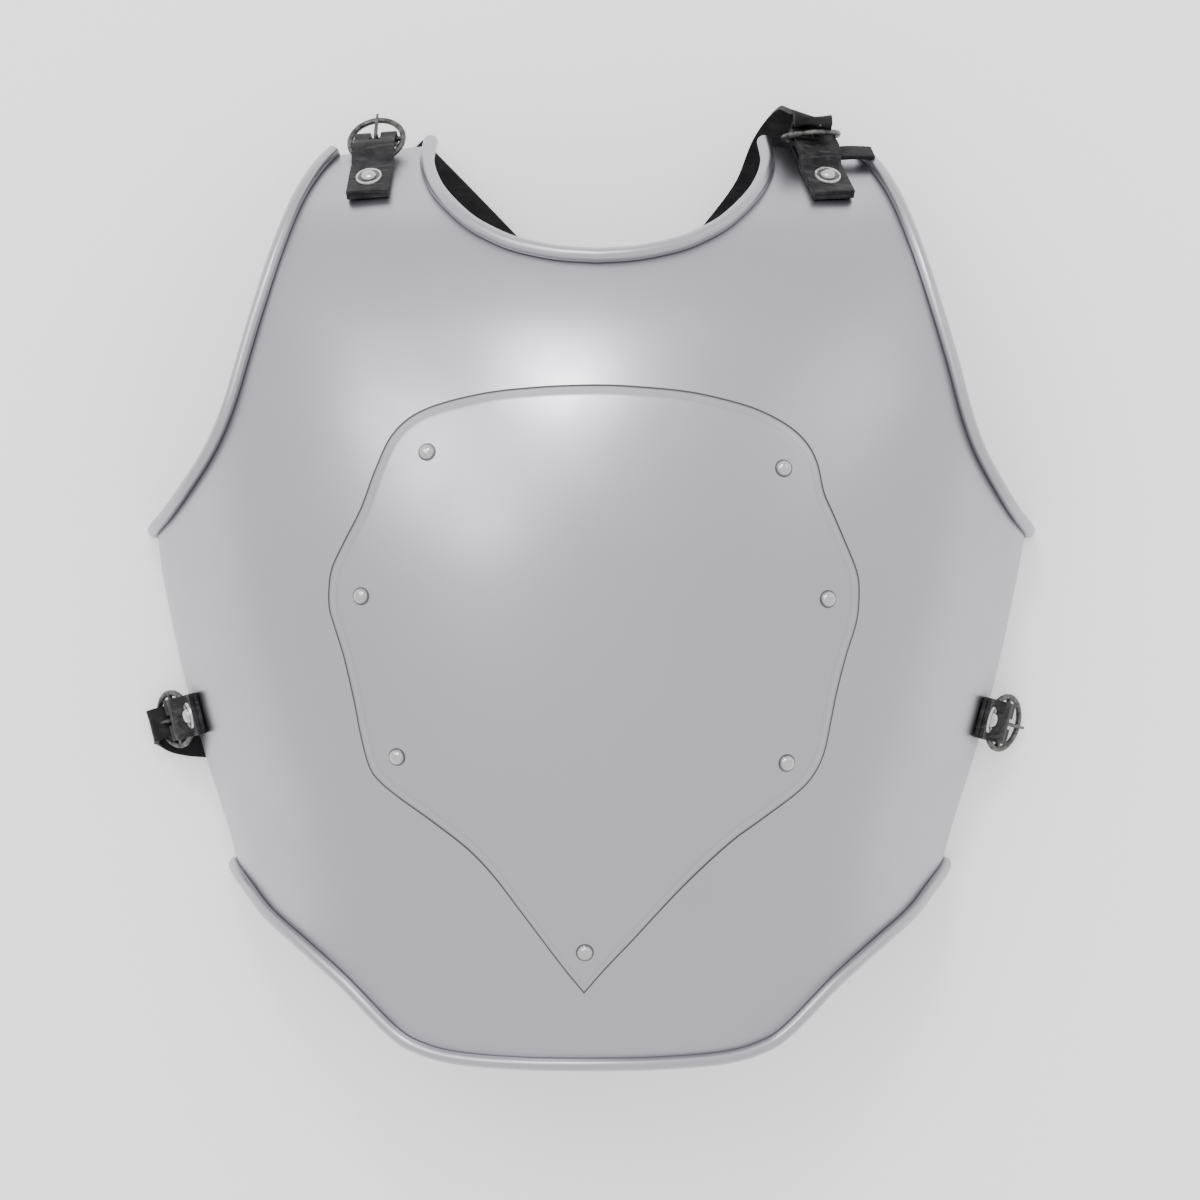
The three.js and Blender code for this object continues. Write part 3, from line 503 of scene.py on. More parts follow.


# Name of the mesh attribute that paints shade into crease feet, rivet feet and the placard's edge, foot and
# back.
PAINTED_SHADE = "painted_shade"
PLATE_STEEL = Finish(
    "satin_plate_steel", "plate_steel", SharedGroup.GROUND_STEEL,
    {"Steel": (0.429, 0.421, 0.456, 1.0), "Roughness": 0.34, "Spread": 0.05, "Streaks": 0.5},
    metallic=1.0, bump=0.00001, painted_shade=PAINTED_SHADE)
RIVET_STEEL = Finish(
    "polished_rivet_steel", "rivet_steel", SharedGroup.GROUND_STEEL,
    {"Steel": (0.5, 0.497, 0.505, 1.0), "Roughness": 0.26, "Spread": 0.05, "Streaks": 0.6},
    metallic=1.0, bump=0.00002, painted_shade=PAINTED_SHADE)
WASHER_STEEL = Finish(
    "hammered_washer_steel", "rivet_steel", SharedGroup.GROUND_STEEL,
    {"Steel": (0.55, 0.55, 0.55, 1.0), "Roughness": 0.3, "Spread": 0.1, "Streaks": 1.0},
    metallic=1.0, bump=0.00008, painted_shade=PAINTED_SHADE)
BUCKLE_STEEL = Finish(
    "aged_buckle_steel", "buckle_steel", SharedGroup.AGED_WIRE,
    {"Bright": (0.15, 0.148, 0.142, 1.0), "Dark": (0.02, 0.019, 0.018, 1.0), "Age": 0.9},
    metallic=1.0, bump=0.00012)
CHAPE_LEATHER = Finish(
    "black_chape_leather", "black_leather", SharedGroup.LEATHER,
    {"Hide": (0.007, 0.007, 0.008, 1.0), "Worn": (0.07, 0.068, 0.07, 1.0), "Wear": 0.45},
    metallic=0.0, bump=0.00022, specular=0.18)
STRAP_LEATHER = Finish(
    "black_strap_leather", "black_leather", SharedGroup.LEATHER,
    {"Hide": (0.005, 0.005, 0.006, 1.0), "Worn": (0.03, 0.029, 0.03, 1.0), "Wear": 0.4},
    metallic=0.0, bump=0.0002, specular=0.16)


# --- pieces and meshes

def add_object(name: str, data: bpy.types.ID) -> bpy.types.Object:
    """Add an object to the scene."""
    made = bpy.data.objects.new(name, data)
    bpy.context.scene.collection.objects.link(made)
    return made


def finished_mesh(name: str, bm: Mesh) -> bpy.types.Mesh:
    """Turn an edited mesh into mesh data and free it."""
    data = bpy.data.meshes.new(name)
    bm.to_mesh(data)
    bm.free()
    return data


def move(bm: Mesh, matrix: Matrix) -> None:
    """Move every vertex of a mesh by a matrix."""
    bmesh.ops.transform(bm, matrix=matrix, verts=bm.verts[:])


@dataclass
class Piece:
    """One finished piece of the object.

    Attributes:
        name: the object's name.
        mesh: its mesh in the maker's frame or in a local one.
        finish: its finish.
        node: the solid that it stands for.
        body: the body that it rides on.
        local: frame of a mesh that isn't in the maker's frame.
        closed: whether its faces are turned outwards as a closed shell.
    """

    name: str
    mesh: Mesh
    finish: Finish
    node: str
    body: str = PLATE_BODY
    local: Matrix = field(default_factory=lambda: Matrix.Identity(4))
    closed: bool = True

    def place(self) -> bpy.types.Object:
        """Bring the mesh to the shared frame and hand it to its body.

        Returns:
            The object.
        """
        move(self.mesh, Matrix.Scale(MM, 4) @ Matrix.Translation(ORIGIN) @ self.local)
        if self.closed:
            bmesh.ops.recalc_face_normals(self.mesh, faces=self.mesh.faces[:])
        for edge in self.mesh.edges:
            edge.smooth = edge.calc_face_angle(0.0) < SMOOTH_LIMIT
        for face in self.mesh.faces:
            face.smooth = True
        data = finished_mesh(self.name, self.mesh)
        data.materials.append(self.finish.material())
        made = add_object(self.name, data)
        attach(made, self.body)
        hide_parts(self.node)
        LOG.info("%s rides on %s", self.name, self.body)
        return made


def lathe(profile: Sequence[Pair], steps: int) -> Mesh:
    """Turn a profile about Z into a closed mesh.

    Args:
        profile: (radius, height) pairs from the axis to the axis, or a closed ring of them.
        steps: faces round the axis.
    """
    bm = bmesh.new()
    verts = [bm.verts.new((radius, 0.0, height)) for radius, height in profile]
    pairs = list(zip(verts, verts[1:]))
    if profile[0][0] > 0.0:
        pairs.append((verts[-1], verts[0]))
    edges = [bm.edges.new(pair) for pair in pairs]
    bmesh.ops.spin(bm, geom=verts + edges, cent=(0, 0, 0), axis=(0, 0, 1), dvec=(0, 0, 0),
                   angle=2 * math.pi, steps=steps, use_merge=True, use_normal_flip=False,
                   use_duplicate=False)
    bmesh.ops.remove_doubles(bm, verts=bm.verts[:], dist=WELD)
    return bm


def wire_ring(radius: float, wire: float, sides: int, steps: int) -> Mesh:
    """A ring of round wire about Z."""
    section = (polar(wire, 2 * math.pi * k / sides) for k in range(sides))
    return lathe([(radius + x, z) for x, z in section], steps)


def dome(radius: float, height: float, seat: float, steps: int, fullness: float = 1.0) -> list[Pair]:
    """Profile of a dome from above its foot to the axis.

    Args:
        radius: its radius.
        height: its height.
        seat: height that it stands at.
        steps: steps up to the axis.
        fullness: power of the profile, fuller below 1.

    Returns:
        (radius, height) pairs.
    """
    arc = (polar(1.0, QUARTER * k / steps) for k in range(1, steps))
    return [*((radius * x ** fullness, seat + height * z) for x, z in arc), (0.0, seat + height)]


def merge_into(target: Mesh, other: Mesh) -> None:
    """Add a mesh to another."""
    bmesh.ops.recalc_face_normals(other, faces=other.faces[:])
    holder = finished_mesh("holder", other)
    target.from_mesh(holder)
    bpy.data.meshes.remove(holder)


def add_grid(bm: Mesh, columns: int, rows: int) -> list[tuple[bmesh.types.BMVert, int, int]]:
    """Add a flat grid and give each vertex with its row and column."""
    verts = bmesh.ops.create_grid(bm, x_segments=columns - 1, y_segments=rows - 1, size=1.0)["verts"]
    return [(vert, round((vert.co.y + 1.0) / 2.0 * (rows - 1)),
             round((vert.co.x + 1.0) / 2.0 * (columns - 1))) for vert in verts]


def free_edges(bm: Mesh, ring: Ring) -> list[bmesh.types.BMEdge]:
    """Edges between a ring's vertices that have a free side."""
    return [edge for edge in bm.edges
            if len(edge.link_faces) < 2 and all(vert in ring for vert in edge.verts)]


def grow(bm: Mesh, ring: Ring) -> Ring:
    """Extrude a ring's free edges into the next ring, which takes over its values."""
    made = bmesh.ops.extrude_edge_only(bm, edges=free_edges(bm, ring))["geom"]
    grown = {}
    for vert in (item for item in made if isinstance(item, bmesh.types.BMVert)):
        source = next(e.other_vert(vert) for e in vert.link_edges if e.other_vert(vert) in ring)
        grown[vert] = ring[source]
    return grown


def close(bm: Mesh, ring: Ring) -> list[bmesh.types.BMFace]:
    """Fill a ring with a face."""
    return bmesh.ops.contextual_create(bm, geom=free_edges(bm, ring))["faces"]


# --- the shell

Stations = list[Pair]                     # (q, y) places on the form


@dataclass(frozen=True)
class RimStation:
    """One place on the sheet's edge and the section of the roll there."""

    here: Vector
    outward: Vector
    normal: Vector
    radius: float


def mirrored(left: Stations) -> Stations:
    """Stations from the left to the middle line, carried on to the right."""
    return left + [(-q, y) for q, y in left[-2::-1]]


def length_shares(stations: Stations) -> list[float]:
    """Share of an edge's length at each of its stations."""
    reach = running_length([FORM.point(q, y) for q, y in stations])
    return [r / reach[-1] for r in reach]


@dataclass
class Shell:
    """The plate itself: a curved sheet whose neck, arm and waist edges are rolled.

    Attributes:
        sheet: thickness.
        rolls: radius of each rolled edge.
        flank_low, flank_high: heights of a side edge's two corners.
        arch_height: rise of each side edge between its resting corners.
        arch_land: level length at each resting corner.
        margin: short step next to each edge.
        seam_shade: painted shade along the foot of each roll, where the crease lies in shade.
        shade_fade: painted shade lost with each step round a roll.
        roll_steps: steps round a roll.
        flank_steps, arm_steps, tab_steps, neck_steps: steps along each edge.
        waist_edge, armhole_edge, neck_edge: (x, y) places of each edge.
    """

    sheet: float = 1.2
    rolls: dict[str, float] = field(default_factory=lambda: {"neck": 3.5, "arm": 3.0, "waist": 3.0})
    flank_low: float = 92.0
    flank_high: float = 248.0
    arch_height: float = 8.0
    arch_land: float = 16.0
    margin: float = 0.9
    seam_shade: float = 0.55
    shade_fade: float = 0.5
    roll_steps: int = 18
    flank_steps: int = 22
    arm_steps: int = 62
    tab_steps: int = 8
    neck_steps: int = 46
    waist_edge: tuple = ((161, 82), (150.5, 70.5), (134.5, 58), (113.5, 40.5), (90, 17.5), (77, 10.2),
                         (60, 6.4), (30, 4.6), (0, 4.3))
    armhole_edge: tuple = ((200.5, 255.5), (190, 268.5), (179, 285.5), (171, 304), (163, 332),
                           (155.8, 356.6), (148.3, 381), (139.5, 405.5), (131, 421.5), (124, 430))
    neck_edge: tuple = ((82.5, 434.5), (83.4, 423), (79.2, 411), (72.4, 401.5), (61.5, 391), (50, 384),
                        (38, 379), (19, 374.8), (0, 373.4))

    def arch(self, y: float) -> float:
        """Height of a side edge above the surface that it rests on."""
        inset = min(y - self.flank_low, self.flank_high - y) - self.arch_land
        half = (self.flank_high - self.flank_low) / 2 - self.arch_land
        return self.arch_height * smooth_step(clamp(inset / half, 0.0, 1.0))

    def from_corner(self, y: float, edge: Sequence[Pair], steps: int, ends: int) -> Stations:
        """Stations of an edge that starts at a side's corner, on the right."""
        curve = EvenCurve(((FORM.half_width(y), y), *edge))
        places = [curve.at(share) for share in edge_shares(curve.length, steps, self.margin, ends)]
        return [(QUARTER, places[0].y), *((FORM.angle(p.x, p.y), p.y) for p in places[1:])]

    def side(self, sign: int) -> Stations:
        """Stations of one side, from its waist corner to its shoulder."""
        length = self.flank_high - self.flank_low
        heights = [self.flank_low + share * length
                   for share in edge_shares(length, self.flank_steps, self.margin)[:-1]]
        flank = [(math.acos(self.arch(y) / FORM.crown(y)), y) for y in heights]
        arm = self.from_corner(self.flank_high, self.armhole_edge, self.arm_steps, ends=2)
        return [(sign * q, y) for q, y in flank + arm]

    def top(self) -> Stations:
        """Stations along the top, from the left shoulder to the right."""
        outer, inner = Vector(self.armhole_edge[-1]), Vector(self.neck_edge[0])
        tab = edge_shares(outer.x - inner.x, self.tab_steps, self.margin)[:-1]
        neck = EvenCurve(self.neck_edge)
        shares = edge_shares(neck.length, self.neck_steps, self.margin, ends=1)
        half = [outer.lerp(inner, share) for share in tab] + [neck.at(share) for share in shares]
        return mirrored([(-FORM.angle(p.x, p.y), p.y) for p in half])

    def waist(self, count: int) -> Stations:
        """Stations along the waist, as many as along the top."""
        steps = (count - 1) // 2 - 1
        half = self.from_corner(self.flank_low, self.waist_edge, steps, ends=1)
        return mirrored([(-q, y) for q, y in half])

    def layout(self) -> list[Stations]:
        """Grid of stations over the sheet, blended from its four edges."""
        top, left, right = self.top(), self.side(-1), self.side(1)
        waist = self.waist(len(top))

        def blend(u: float, v: float, i: int, j: int) -> Pair:
            """Station at shares u across and v up."""
            return tuple(
                (1 - v) * waist[i][k] + v * top[i][k] + (1 - u) * left[j][k] + u * right[j][k]
                - (1 - u) * (1 - v) * waist[0][k] - u * (1 - v) * waist[-1][k]
                - (1 - u) * v * top[0][k] - u * v * top[-1][k] for k in (0, 1))

        return [[blend(u, v, i, j) for i, u in enumerate(length_shares(waist))]
                for j, v in enumerate(length_shares(left))]

    def edge_name(self, j: int, i: int, columns: int) -> str:
        """Name of the edge that a border station belongs to."""
        if j == 0:
            return "waist"
        side = "left" if i < columns / 2 else "right"
        if i in (0, columns - 1):
            return f"flank_{side}" if j <= self.flank_steps + 1 else f"arm_{side}"
        return f"tab_{side}" if min(i, columns - 1 - i) <= self.tab_steps + 1 else "neck"

    def rim(self, grid: list[Stations]) -> dict[tuple[int, int], RimStation]:
        """Section frame of each border station, by its row and column."""
        rows, columns = len(grid), len(grid[0])
        loop = [(0, i) for i in range(columns)]
        loop += [(j, columns - 1) for j in range(1, rows)]
        loop += [(rows - 1, i) for i in range(columns - 2, -1, -1)]
        loop += [(j, 0) for j in range(rows - 2, 0, -1)]
        names = [self.edge_name(j, i, columns) for j, i in loop]
        places = [FORM.point(*grid[j][i]) for j, i in loop]
        stations = {}
        for k, (j, i) in enumerate(loop):
            before, after = (k - 1) % len(loop), (k + 1) % len(loop)
            start = places[before] if names[before] == names[k] else places[k]
            end = places[after] if names[after] == names[k] else places[k]
            normal = FORM.normal(*grid[j][i])
            outward = (end - start).normalized().cross(normal).normalized()
            radius = self.rolls.get(names[k].split("_")[0], 0.0)
            stations[j, i] = RimStation(places[k], outward, normal, radius)
        return stations

    def roll_point(self, station: RimStation, step: int) -> Vector:
        """Point of the rim's section: a bead where the edge is rolled, else the sheet's end."""
        share = step / self.roll_steps
        if station.radius == 0.0:
            out, up = 0.0, -self.sheet * share
        elif step == self.roll_steps:
            out, up = 0.0, -self.sheet
        else:
            rise = station.radius - self.sheet
            start = math.pi + math.asin(rise / station.radius)
            turned = (start + QUARTER) * share * self.roll_steps / (self.roll_steps - 1)
            x, z = polar(station.radius, start - turned)
            out, up = math.sqrt(station.radius ** 2 - rise ** 2) + x, rise + z
        point = station.here + station.outward * out + station.normal * up
        point.z = max(0.0, point.z)
        return point

    def add_sheet(self, bm: Mesh, grid: list[Stations], out: float) -> dict:
        """Lay a grid over the form.

        Args:
            bm: mesh to add to.
            grid: station of each row and column.
            out: distance outside the form.

        Returns:
            Each new vertex's row and column.
        """
        keys = {}
        for vert, j, i in add_grid(bm, len(grid[0]), len(grid)):
            keys[vert] = (j, i)
            vert.co = FORM.above(*grid[j][i], out) if out else FORM.point(*grid[j][i])
        return keys

    def build(self) -> Mesh:
        """The whole shell as one closed mesh, with painted shade along the foot of each roll."""
        grid = self.layout()
        stations = self.rim(grid)
        bm = bmesh.new()
        painted_shade = bm.verts.layers.float.new(PAINTED_SHADE)
        keys = self.add_sheet(bm, grid, 0.0)
        ring = {vert: stations[key] for vert, key in keys.items() if key in stations}
        for step in range(self.roll_steps + 1):
            if step:
                ring = grow(bm, ring)
            for vert, station in ring.items():
                if step:
                    vert.co = self.roll_point(station, step)
                # Painted shade: a dark line in the crease at the foot of each roll, fading round it.
                vert[painted_shade] = max(0.0, self.seam_shade - self.shade_fade * step) if station.radius else 0.0
        self.add_sheet(bm, grid, -self.sheet)
        bmesh.ops.remove_doubles(bm, verts=bm.verts[:], dist=WELD)
        return bm


# --- the placard

@dataclass
class Placard:
    """The pointed plate riveted over the belly, with a chamfered border.

    Attributes:
        gap: room between the shell and the plate's underside.
        sheet: thickness.
        rim: thickness at its edge.
        border: width of the chamfer.
        shadow: how far the painted shadow round its foot reaches out on the shell.
        shadow_height: height of that painted shadow above the shell.
        shadow_darkness: darkness of that painted shadow.
        underside: height of its back, a little below the shell's face.
        back_insets: distances inside the outline of the back's border.
        steps: steps round the outline.
        rings: rings of the face inside its border.
        back_rings: rings of the back.
        face_reach, back_reach: share of the outline at which those rings start.
        centre: (x, y) that the rings close on.
        tip: row of the outline's point, which stays sharp.
        outline: (x, y) places of the edge.
        rivets: (x, y) places of the rivets.
    """

    gap: float = 0.6
    sheet: float = 1.4
    rim: float = 0.55
    border: float = 4.2
    shadow: float = 0.85
    shadow_height: float = 0.03
    shadow_darkness: float = 0.9
    underside: float = -0.35
    back_insets: Pair = (-0.4, 2.0)
    steps: int = 288
    rings: int = 30
    back_rings: int = 8
    face_reach: float = 0.93
    back_reach: float = 0.9
    centre: Pair = (0.0, 205.0)
    tip: int = 25
    outline: tuple = (
        (4, 315.2), (24, 314.3), (46, 312.1), (66.5, 307.6), (80, 303), (92.5, 296), (100.5, 288),
        (104.8, 279), (107.6, 266.3), (112, 256.2), (117, 244.7), (122.7, 230.8), (124, 222),
        (123, 207.8), (118, 191.6), (113.8, 175.5), (111, 161.6), (107.9, 146.8), (102.8, 136.2),
        (94.8, 127.9), (78.1, 115.7), (63.8, 105.2), (42.6, 85.4), (19.1, 59.9), (7.2, 47.2),
        (-2.5, 35.9), (-12.7, 48.6), (-33.8, 77.1), (-44.4, 91), (-55.9, 103), (-72.5, 115.8),
        (-87.3, 126.2), (-96.7, 133.9), (-101.3, 140.8), (-105, 154.7), (-108.1, 170.9),
        (-112.7, 190.7), (-116.9, 204.1), (-119.5, 213), (-119.7, 222.5), (-118.2, 231.8),
        (-112.6, 243.7), (-104.8, 258.9), (-98, 277.3), (-90, 293.4), (-76.3, 304), (-50.5, 311.2),
        (-23, 314.3),
    )
    rivets: tuple = ((-74, 284.5), (88.6, 277.2), (-104.2, 218.8), (108.9, 217.5), (-87.7, 145.2),
                     (90, 142.4), (-2.1, 55.2))

    @property
    def top(self) -> float:
        """Height of the plate's face above the shell."""
        return self.gap + self.sheet

    def chamfer(self) -> tuple[Triple, ...]:
        """Section of the border: distance inside the outline, height above the shell, painted shade."""
        edge = self.gap + self.rim
        # The dark foot of the edge and the faint line at the chamfer's inner edge are painted shade.
        return (
            (-0.06, 0.05, 1.0), (0.0, 0.2, 1.0), (0.0, edge - 0.2, 1.0), (0.3, edge, 0.85),
            (0.7, edge + 0.06, 0.25), (1.4, edge + 0.16, 0.0), (self.border - 0.9, self.top - 0.26, 0.0),
            (self.border - 0.2, self.top - 0.14, 0.12), (self.border + 0.4, self.top - 0.02, 0.06),
            (self.border + 1.4, self.top, 0.0),
        )

    def inside(self, p: Vector, inset: float) -> Pair:
        """Place at a distance inside the outline, towards the centre."""
        x, y = self.centre
        away = Vector((p.x - x, p.y - y))
        scale = 1.0 - inset / away.length
        return x + away.x * scale, y + away.y * scale

    def shrunk(self, p: Vector, scale: float) -> Pair:
        """Place at a share of the outline's reach."""
        x, y = self.centre
        return x + (p.x - x) * scale, y + (p.y - y) * scale

    def build(self) -> Mesh:
        """The plate as one closed mesh, with painted shadow round its foot, painted shade in its line and a
        back painted dark.
        """
        curve = EvenCurve([*self.outline[self.tip:], *self.outline[:self.tip + 1]])
        edge = [curve.at(k / self.steps) for k in range(self.steps)]
        bm = bmesh.new()
        painted_shade = bm.verts.layers.float.new(PAINTED_SHADE)
        circle = bmesh.ops.create_circle(bm, segments=self.steps, radius=1.0, cap_ends=False)["verts"]

        def lay(ring: Ring, placed: Callable[..., Pair], by: float, out: float, dark: float) -> None:
            """Move a ring to its places in plan and a height above the shell."""
            for vert, k in ring.items():
                x, y = placed(edge[k], by)
                vert.co = FORM.above(FORM.plan_angle(x, y), y, out)
                vert[painted_shade] = dark

        def sheet(ring: Ring, border: Iterable[Triple], count: int, reach: float) -> None:
            """Lay a border, then ever smaller rings at its last height, and close the middle."""
            for inset, out, dark in border:
                ring = grow(bm, ring)
                lay(ring, self.inside, inset, out, dark)
            for k in range(count, 0, -1):
                ring = grow(bm, ring)
                lay(ring, self.shrunk, reach * k / count, out, dark)
            bmesh.ops.poke(bm, faces=close(bm, ring))

        foot = {vert: k for k, vert in enumerate(circle)}
        # Painted shadow: the foot ring lies on the shell just outside the outline, painted dark.
        lay(foot, self.inside, -self.shadow, self.shadow_height, self.shadow_darkness)
        sheet(foot, self.chamfer(), self.rings, self.face_reach)
        # Painted shade: the back is painted fully dark.
        back = tuple((inset, self.underside, 1.0) for inset in self.back_insets)
        sheet(foot, back, self.back_rings, self.back_reach)
        return bm


# --- rivets and washers

@dataclass
class Rivet:
    """A domed rivet with its shank and closed tail.

    Attributes:
        radius: radius of the head.
        height: height of the dome.
        fullness: power of the dome's profile.
        shank: radius of the shank.
        tail: radius of the closed tail.
        tail_height: thickness of the closed tail.
        tail_round: size of the tail's rounded corner.
        lip: width of the flange under the head, painted dark as shade.
        lip_height: thickness of the flange.
        shade_height: height up which the foot of the head is painted with shade.
        steps: steps round the rivet.
        dome_steps: steps up its head.
    """

    radius: float = 3.7
    height: float = 2.7
    fullness: float = 0.85
    shank: float = 1.5
    tail: float = 2.6
    tail_height: float = 0.9
    tail_round: float = 0.4
    lip: float = 0.5
    lip_height: float = 0.12
    shade_height: float = 0.6
    steps: int = 40
    dome_steps: int = 12

    def build(self, seat: float, foot: float) -> Mesh:
        """The rivet about Z.

        Args:
            seat: height of the face under its head.
            foot: height of the face over its tail.

        Returns:
            A closed mesh with painted shade round the foot of the head.
        """
        end, flange, crest = foot - self.tail_height, self.radius + self.lip, seat + self.lip_height
        profile = [(0.0, end), (self.tail - self.tail_round, end), (self.tail, end + self.tail_round),
                   (self.tail, foot), (self.shank, foot), (self.shank, seat), (flange, seat),
                   (flange, seat + self.lip_height / 2), (self.radius, crest)]
        profile += dome(self.radius, self.height, crest, self.dome_steps, self.fullness)
        bm = lathe(profile, self.steps)
        painted_shade = bm.verts.layers.float.new(PAINTED_SHADE)
        # Painted shade: darkest at the seat, fading up the head.
        for vert in bm.verts:
            vert[painted_shade] = clamp(1.0 - (vert.co.z - seat) / self.shade_height, 0.0, 1.0)
        return bm


@dataclass
class Washer:
    """A rough disc with a raised rim, under the head of a chape's rivet.

    Attributes:
        radius, height: its size.
        corner: width of its outer corner.
        lip, slope: widths of its raised rim and of the slope inside it.
        recess: height inside its rim.
        hole: radius of the flat under the rivet.
        painted_shade: painted shade inside its rim, where the recess lies in shade.
        shade_inset, shade_ramp: where the painted shade starts and how quickly it grows.
        dent, dent_scale: height and fineness of its dents.
        oval, oval_scale: share and fineness of its unevenness in width.
        steps: steps round it.
    """

    radius: float = 6.4
    height: float = 0.9
    corner: float = 0.3
    lip: float = 0.9
    slope: float = 0.5
    recess: float = 0.35
    hole: float = 2.0
    painted_shade: float = 0.85
    shade_inset: float = 0.05
    shade_ramp: float = 3.0
    dent: float = 0.16
    dent_scale: float = 0.9
    oval: float = 0.02
    oval_scale: float = 0.3
    steps: int = 56

    def build(self, seat: float, sunk: float) -> Mesh:
        """The washer about Z, on a seat that it sinks into."""
        outer, top, low = self.radius, seat + self.height, seat + self.recess
        rim, under = outer - self.lip, seat - sunk
        profile = [(0.0, under), (outer, under), (outer, low), (outer - self.corner, top), (rim, top),
                   (rim - self.slope, low), (self.hole, low), (0.0, low)]
        bm = lathe(profile, self.steps)
        painted_shade = bm.verts.layers.float.new(PAINTED_SHADE)
        for vert in (vert for vert in bm.verts if vert.co.z > seat):
            # Painted shade: the recess inside the rim is painted darker towards the middle.
            inset = rim - self.shade_inset - vert.co.xy.length
            vert[painted_shade] = clamp(inset * self.shade_ramp, 0.0, self.painted_shade)
            vert.co.z += self.dent * noise.noise(vert.co * self.dent_scale)
            vert.co.x *= 1.0 + self.oval * noise.noise(vert.co * self.oval_scale)
        return bm


# --- buckles on their chapes

@dataclass(frozen=True)
class Buckle:
    """A ring buckle on a folded chape, in the frame of the chape's rivet.

    Attributes:
        name: its place on the plate.
        path: middle line of the folded leather, as (s, h).
        bar: middle of the ring's bar, as (s, h).
        ring_turn: turn of the ring's front half from +X towards +Z, in degrees.
        place: (x, y) of a shoulder's rivet, or (rivet height, y) of a hip's.
        heading: a shoulder's direction in plan; a hip's chape points down.
        side: 0 at a shoulder, -1 at the left hip and 1 at the right.
        tongue_side: -1 where the tongue lies on the ring's other face.
        tongue_lift: turn of the tongue from the ring, in degrees.
        pin_body: the body that the tongue rides on.
    """

    name: str
    path: tuple[Pair, ...]
    bar: Pair
    ring_turn: float
    place: Pair
    heading: Pair = (0.0, 0.0)
    side: int = 0
    tongue_side: int = 1
    tongue_lift: float = 0.0
    pin_body: str = PLATE_BODY

    def frame(self) -> Matrix:
        """Frame of the rivet on the plate."""
        x, y = self.place
        if self.side:
            return FORM.frame_at(self.side * math.acos(x / FORM.crown(y)), y, Vector((0, 0, -1)))
        q = FORM.angle(x, y)
        normal = FORM.normal(q, y)
        rise = -(self.heading[0] * normal.x + self.heading[1] * normal.y) / normal.z
        return FORM.frame_at(q, y, Vector((*self.heading, rise)))

    def at_bar(self, turn: float) -> Matrix:
        """Frame at the bar, turned from +X towards +Z."""
        turned = Matrix.Rotation(-math.radians(turn), 4, "Y")
        return Matrix.Translation((self.bar[0], 0.0, self.bar[1])) @ turned


HIP_PATH = ((-8, 2.9), (4.4, 2.9), (6.2, 5.2), (8, 7.4), (11, 9), (15, 9), (18, 8.3))
BUCKLES = (
    Buckle("shoulder_left",
           ((-11.5, 2.7), (10, 2.5), (14.1, 2.2), (16.6, 3.5), (19.5, 5.6), (23.5, 6.5), (28, 5.3)),
           (32.9, 3.5), 13, (-107.4, 413.3), heading=(0.11, 1.0), pin_body="shoulder_left_pin"),
    Buckle("shoulder_right",
           ((-13, 2.7), (8, 2.7), (10.8, 2.9), (12.9, 5), (15.2, 7.9), (19.1, 8.9), (24, 8.2)),
           (29.5, 7.4), 137, (108.3, 414), heading=(-0.4, 1.0), tongue_side=-1, tongue_lift=-2),
    Buckle("hip_left", HIP_PATH, (21, 7.6), 22, (35, 163), side=-1),
    Buckle("hip_right", HIP_PATH, (21, 7.4), 22, (32, 161), side=1, pin_body="hip_right_pin"),
)


def taper(left: float, share: float) -> float:
    """Radius of a tongue's pin at a distance from its rounded end and a share of its steps."""
    root, loss, nose = 1.0, 0.35, 0.6
    tip = math.sqrt(clamp(1.0 - (1.0 - left / nose) ** 2, 0.02, 1.0)) if left < nose else 1.0
    return (root - loss * share) * tip


def tube(path: Sequence[Vector], radii: Sequence[float], sides: int = 16) -> Mesh:
    """A round wire along a path in the XZ plane, rounded at its ends.

    Args:
        path: middle line.
        radii: radius at each point of it.
        sides: faces round it.

    Returns:
        A closed mesh.
    """
    bm = bmesh.new()
    verts = bmesh.ops.create_circle(bm, segments=sides, radius=1.0, cap_ends=True)["verts"]
    ring = {vert: 2 * math.pi * k / sides for k, vert in enumerate(verts)}
    across = Vector((0, 1, 0))
    for k, (middle, radius) in enumerate(zip(path, radii)):
        if k:
            ring = grow(bm, ring)
        along = (path[min(k + 1, len(path) - 1)] - path[max(k - 1, 0)]).normalized()
        up = along.cross(across)
        for vert, angle in ring.items():
            vert.co = middle + across * (radius * math.cos(angle)) + up * (radius * math.sin(angle))
    close(bm, ring)
    return bm


def leather_modifiers(made: bpy.types.Object, thickness: float,
                      cut: float = 0.4, sharp: float = 50.0) -> None:
    """Give a strip of leather its thickness and rounded edges.

    Args:
        made: the strip.
        thickness: its thickness.
        cut: width of the rounding.
        sharp: angle in degrees from which an edge is rounded.
    """
    solid = made.modifiers.new("thickness", "SOLIDIFY")
    solid.thickness = thickness * MM
    solid.offset = 0.0
    bevel = made.modifiers.new("cut_edges", "BEVEL")
    bevel.width = cut * MM
    bevel.segments = 3
    bevel.limit_method = "ANGLE"
    bevel.angle_limit = math.radians(sharp)


def uneven(amount: float, along: float, across: float, seed: float) -> float:
    """Unevenness of a surface at a scaled place along and across it."""
    return amount * noise.noise(Vector((along, across, seed)))


def wobble(bm: Mesh, amount: float, scale: float) -> None:
    """Push each vertex in or out a little, as forging leaves it."""
    for vert in bm.verts:
        vert.co += vert.co.normalized() * (amount * noise.noise(vert.co * scale))


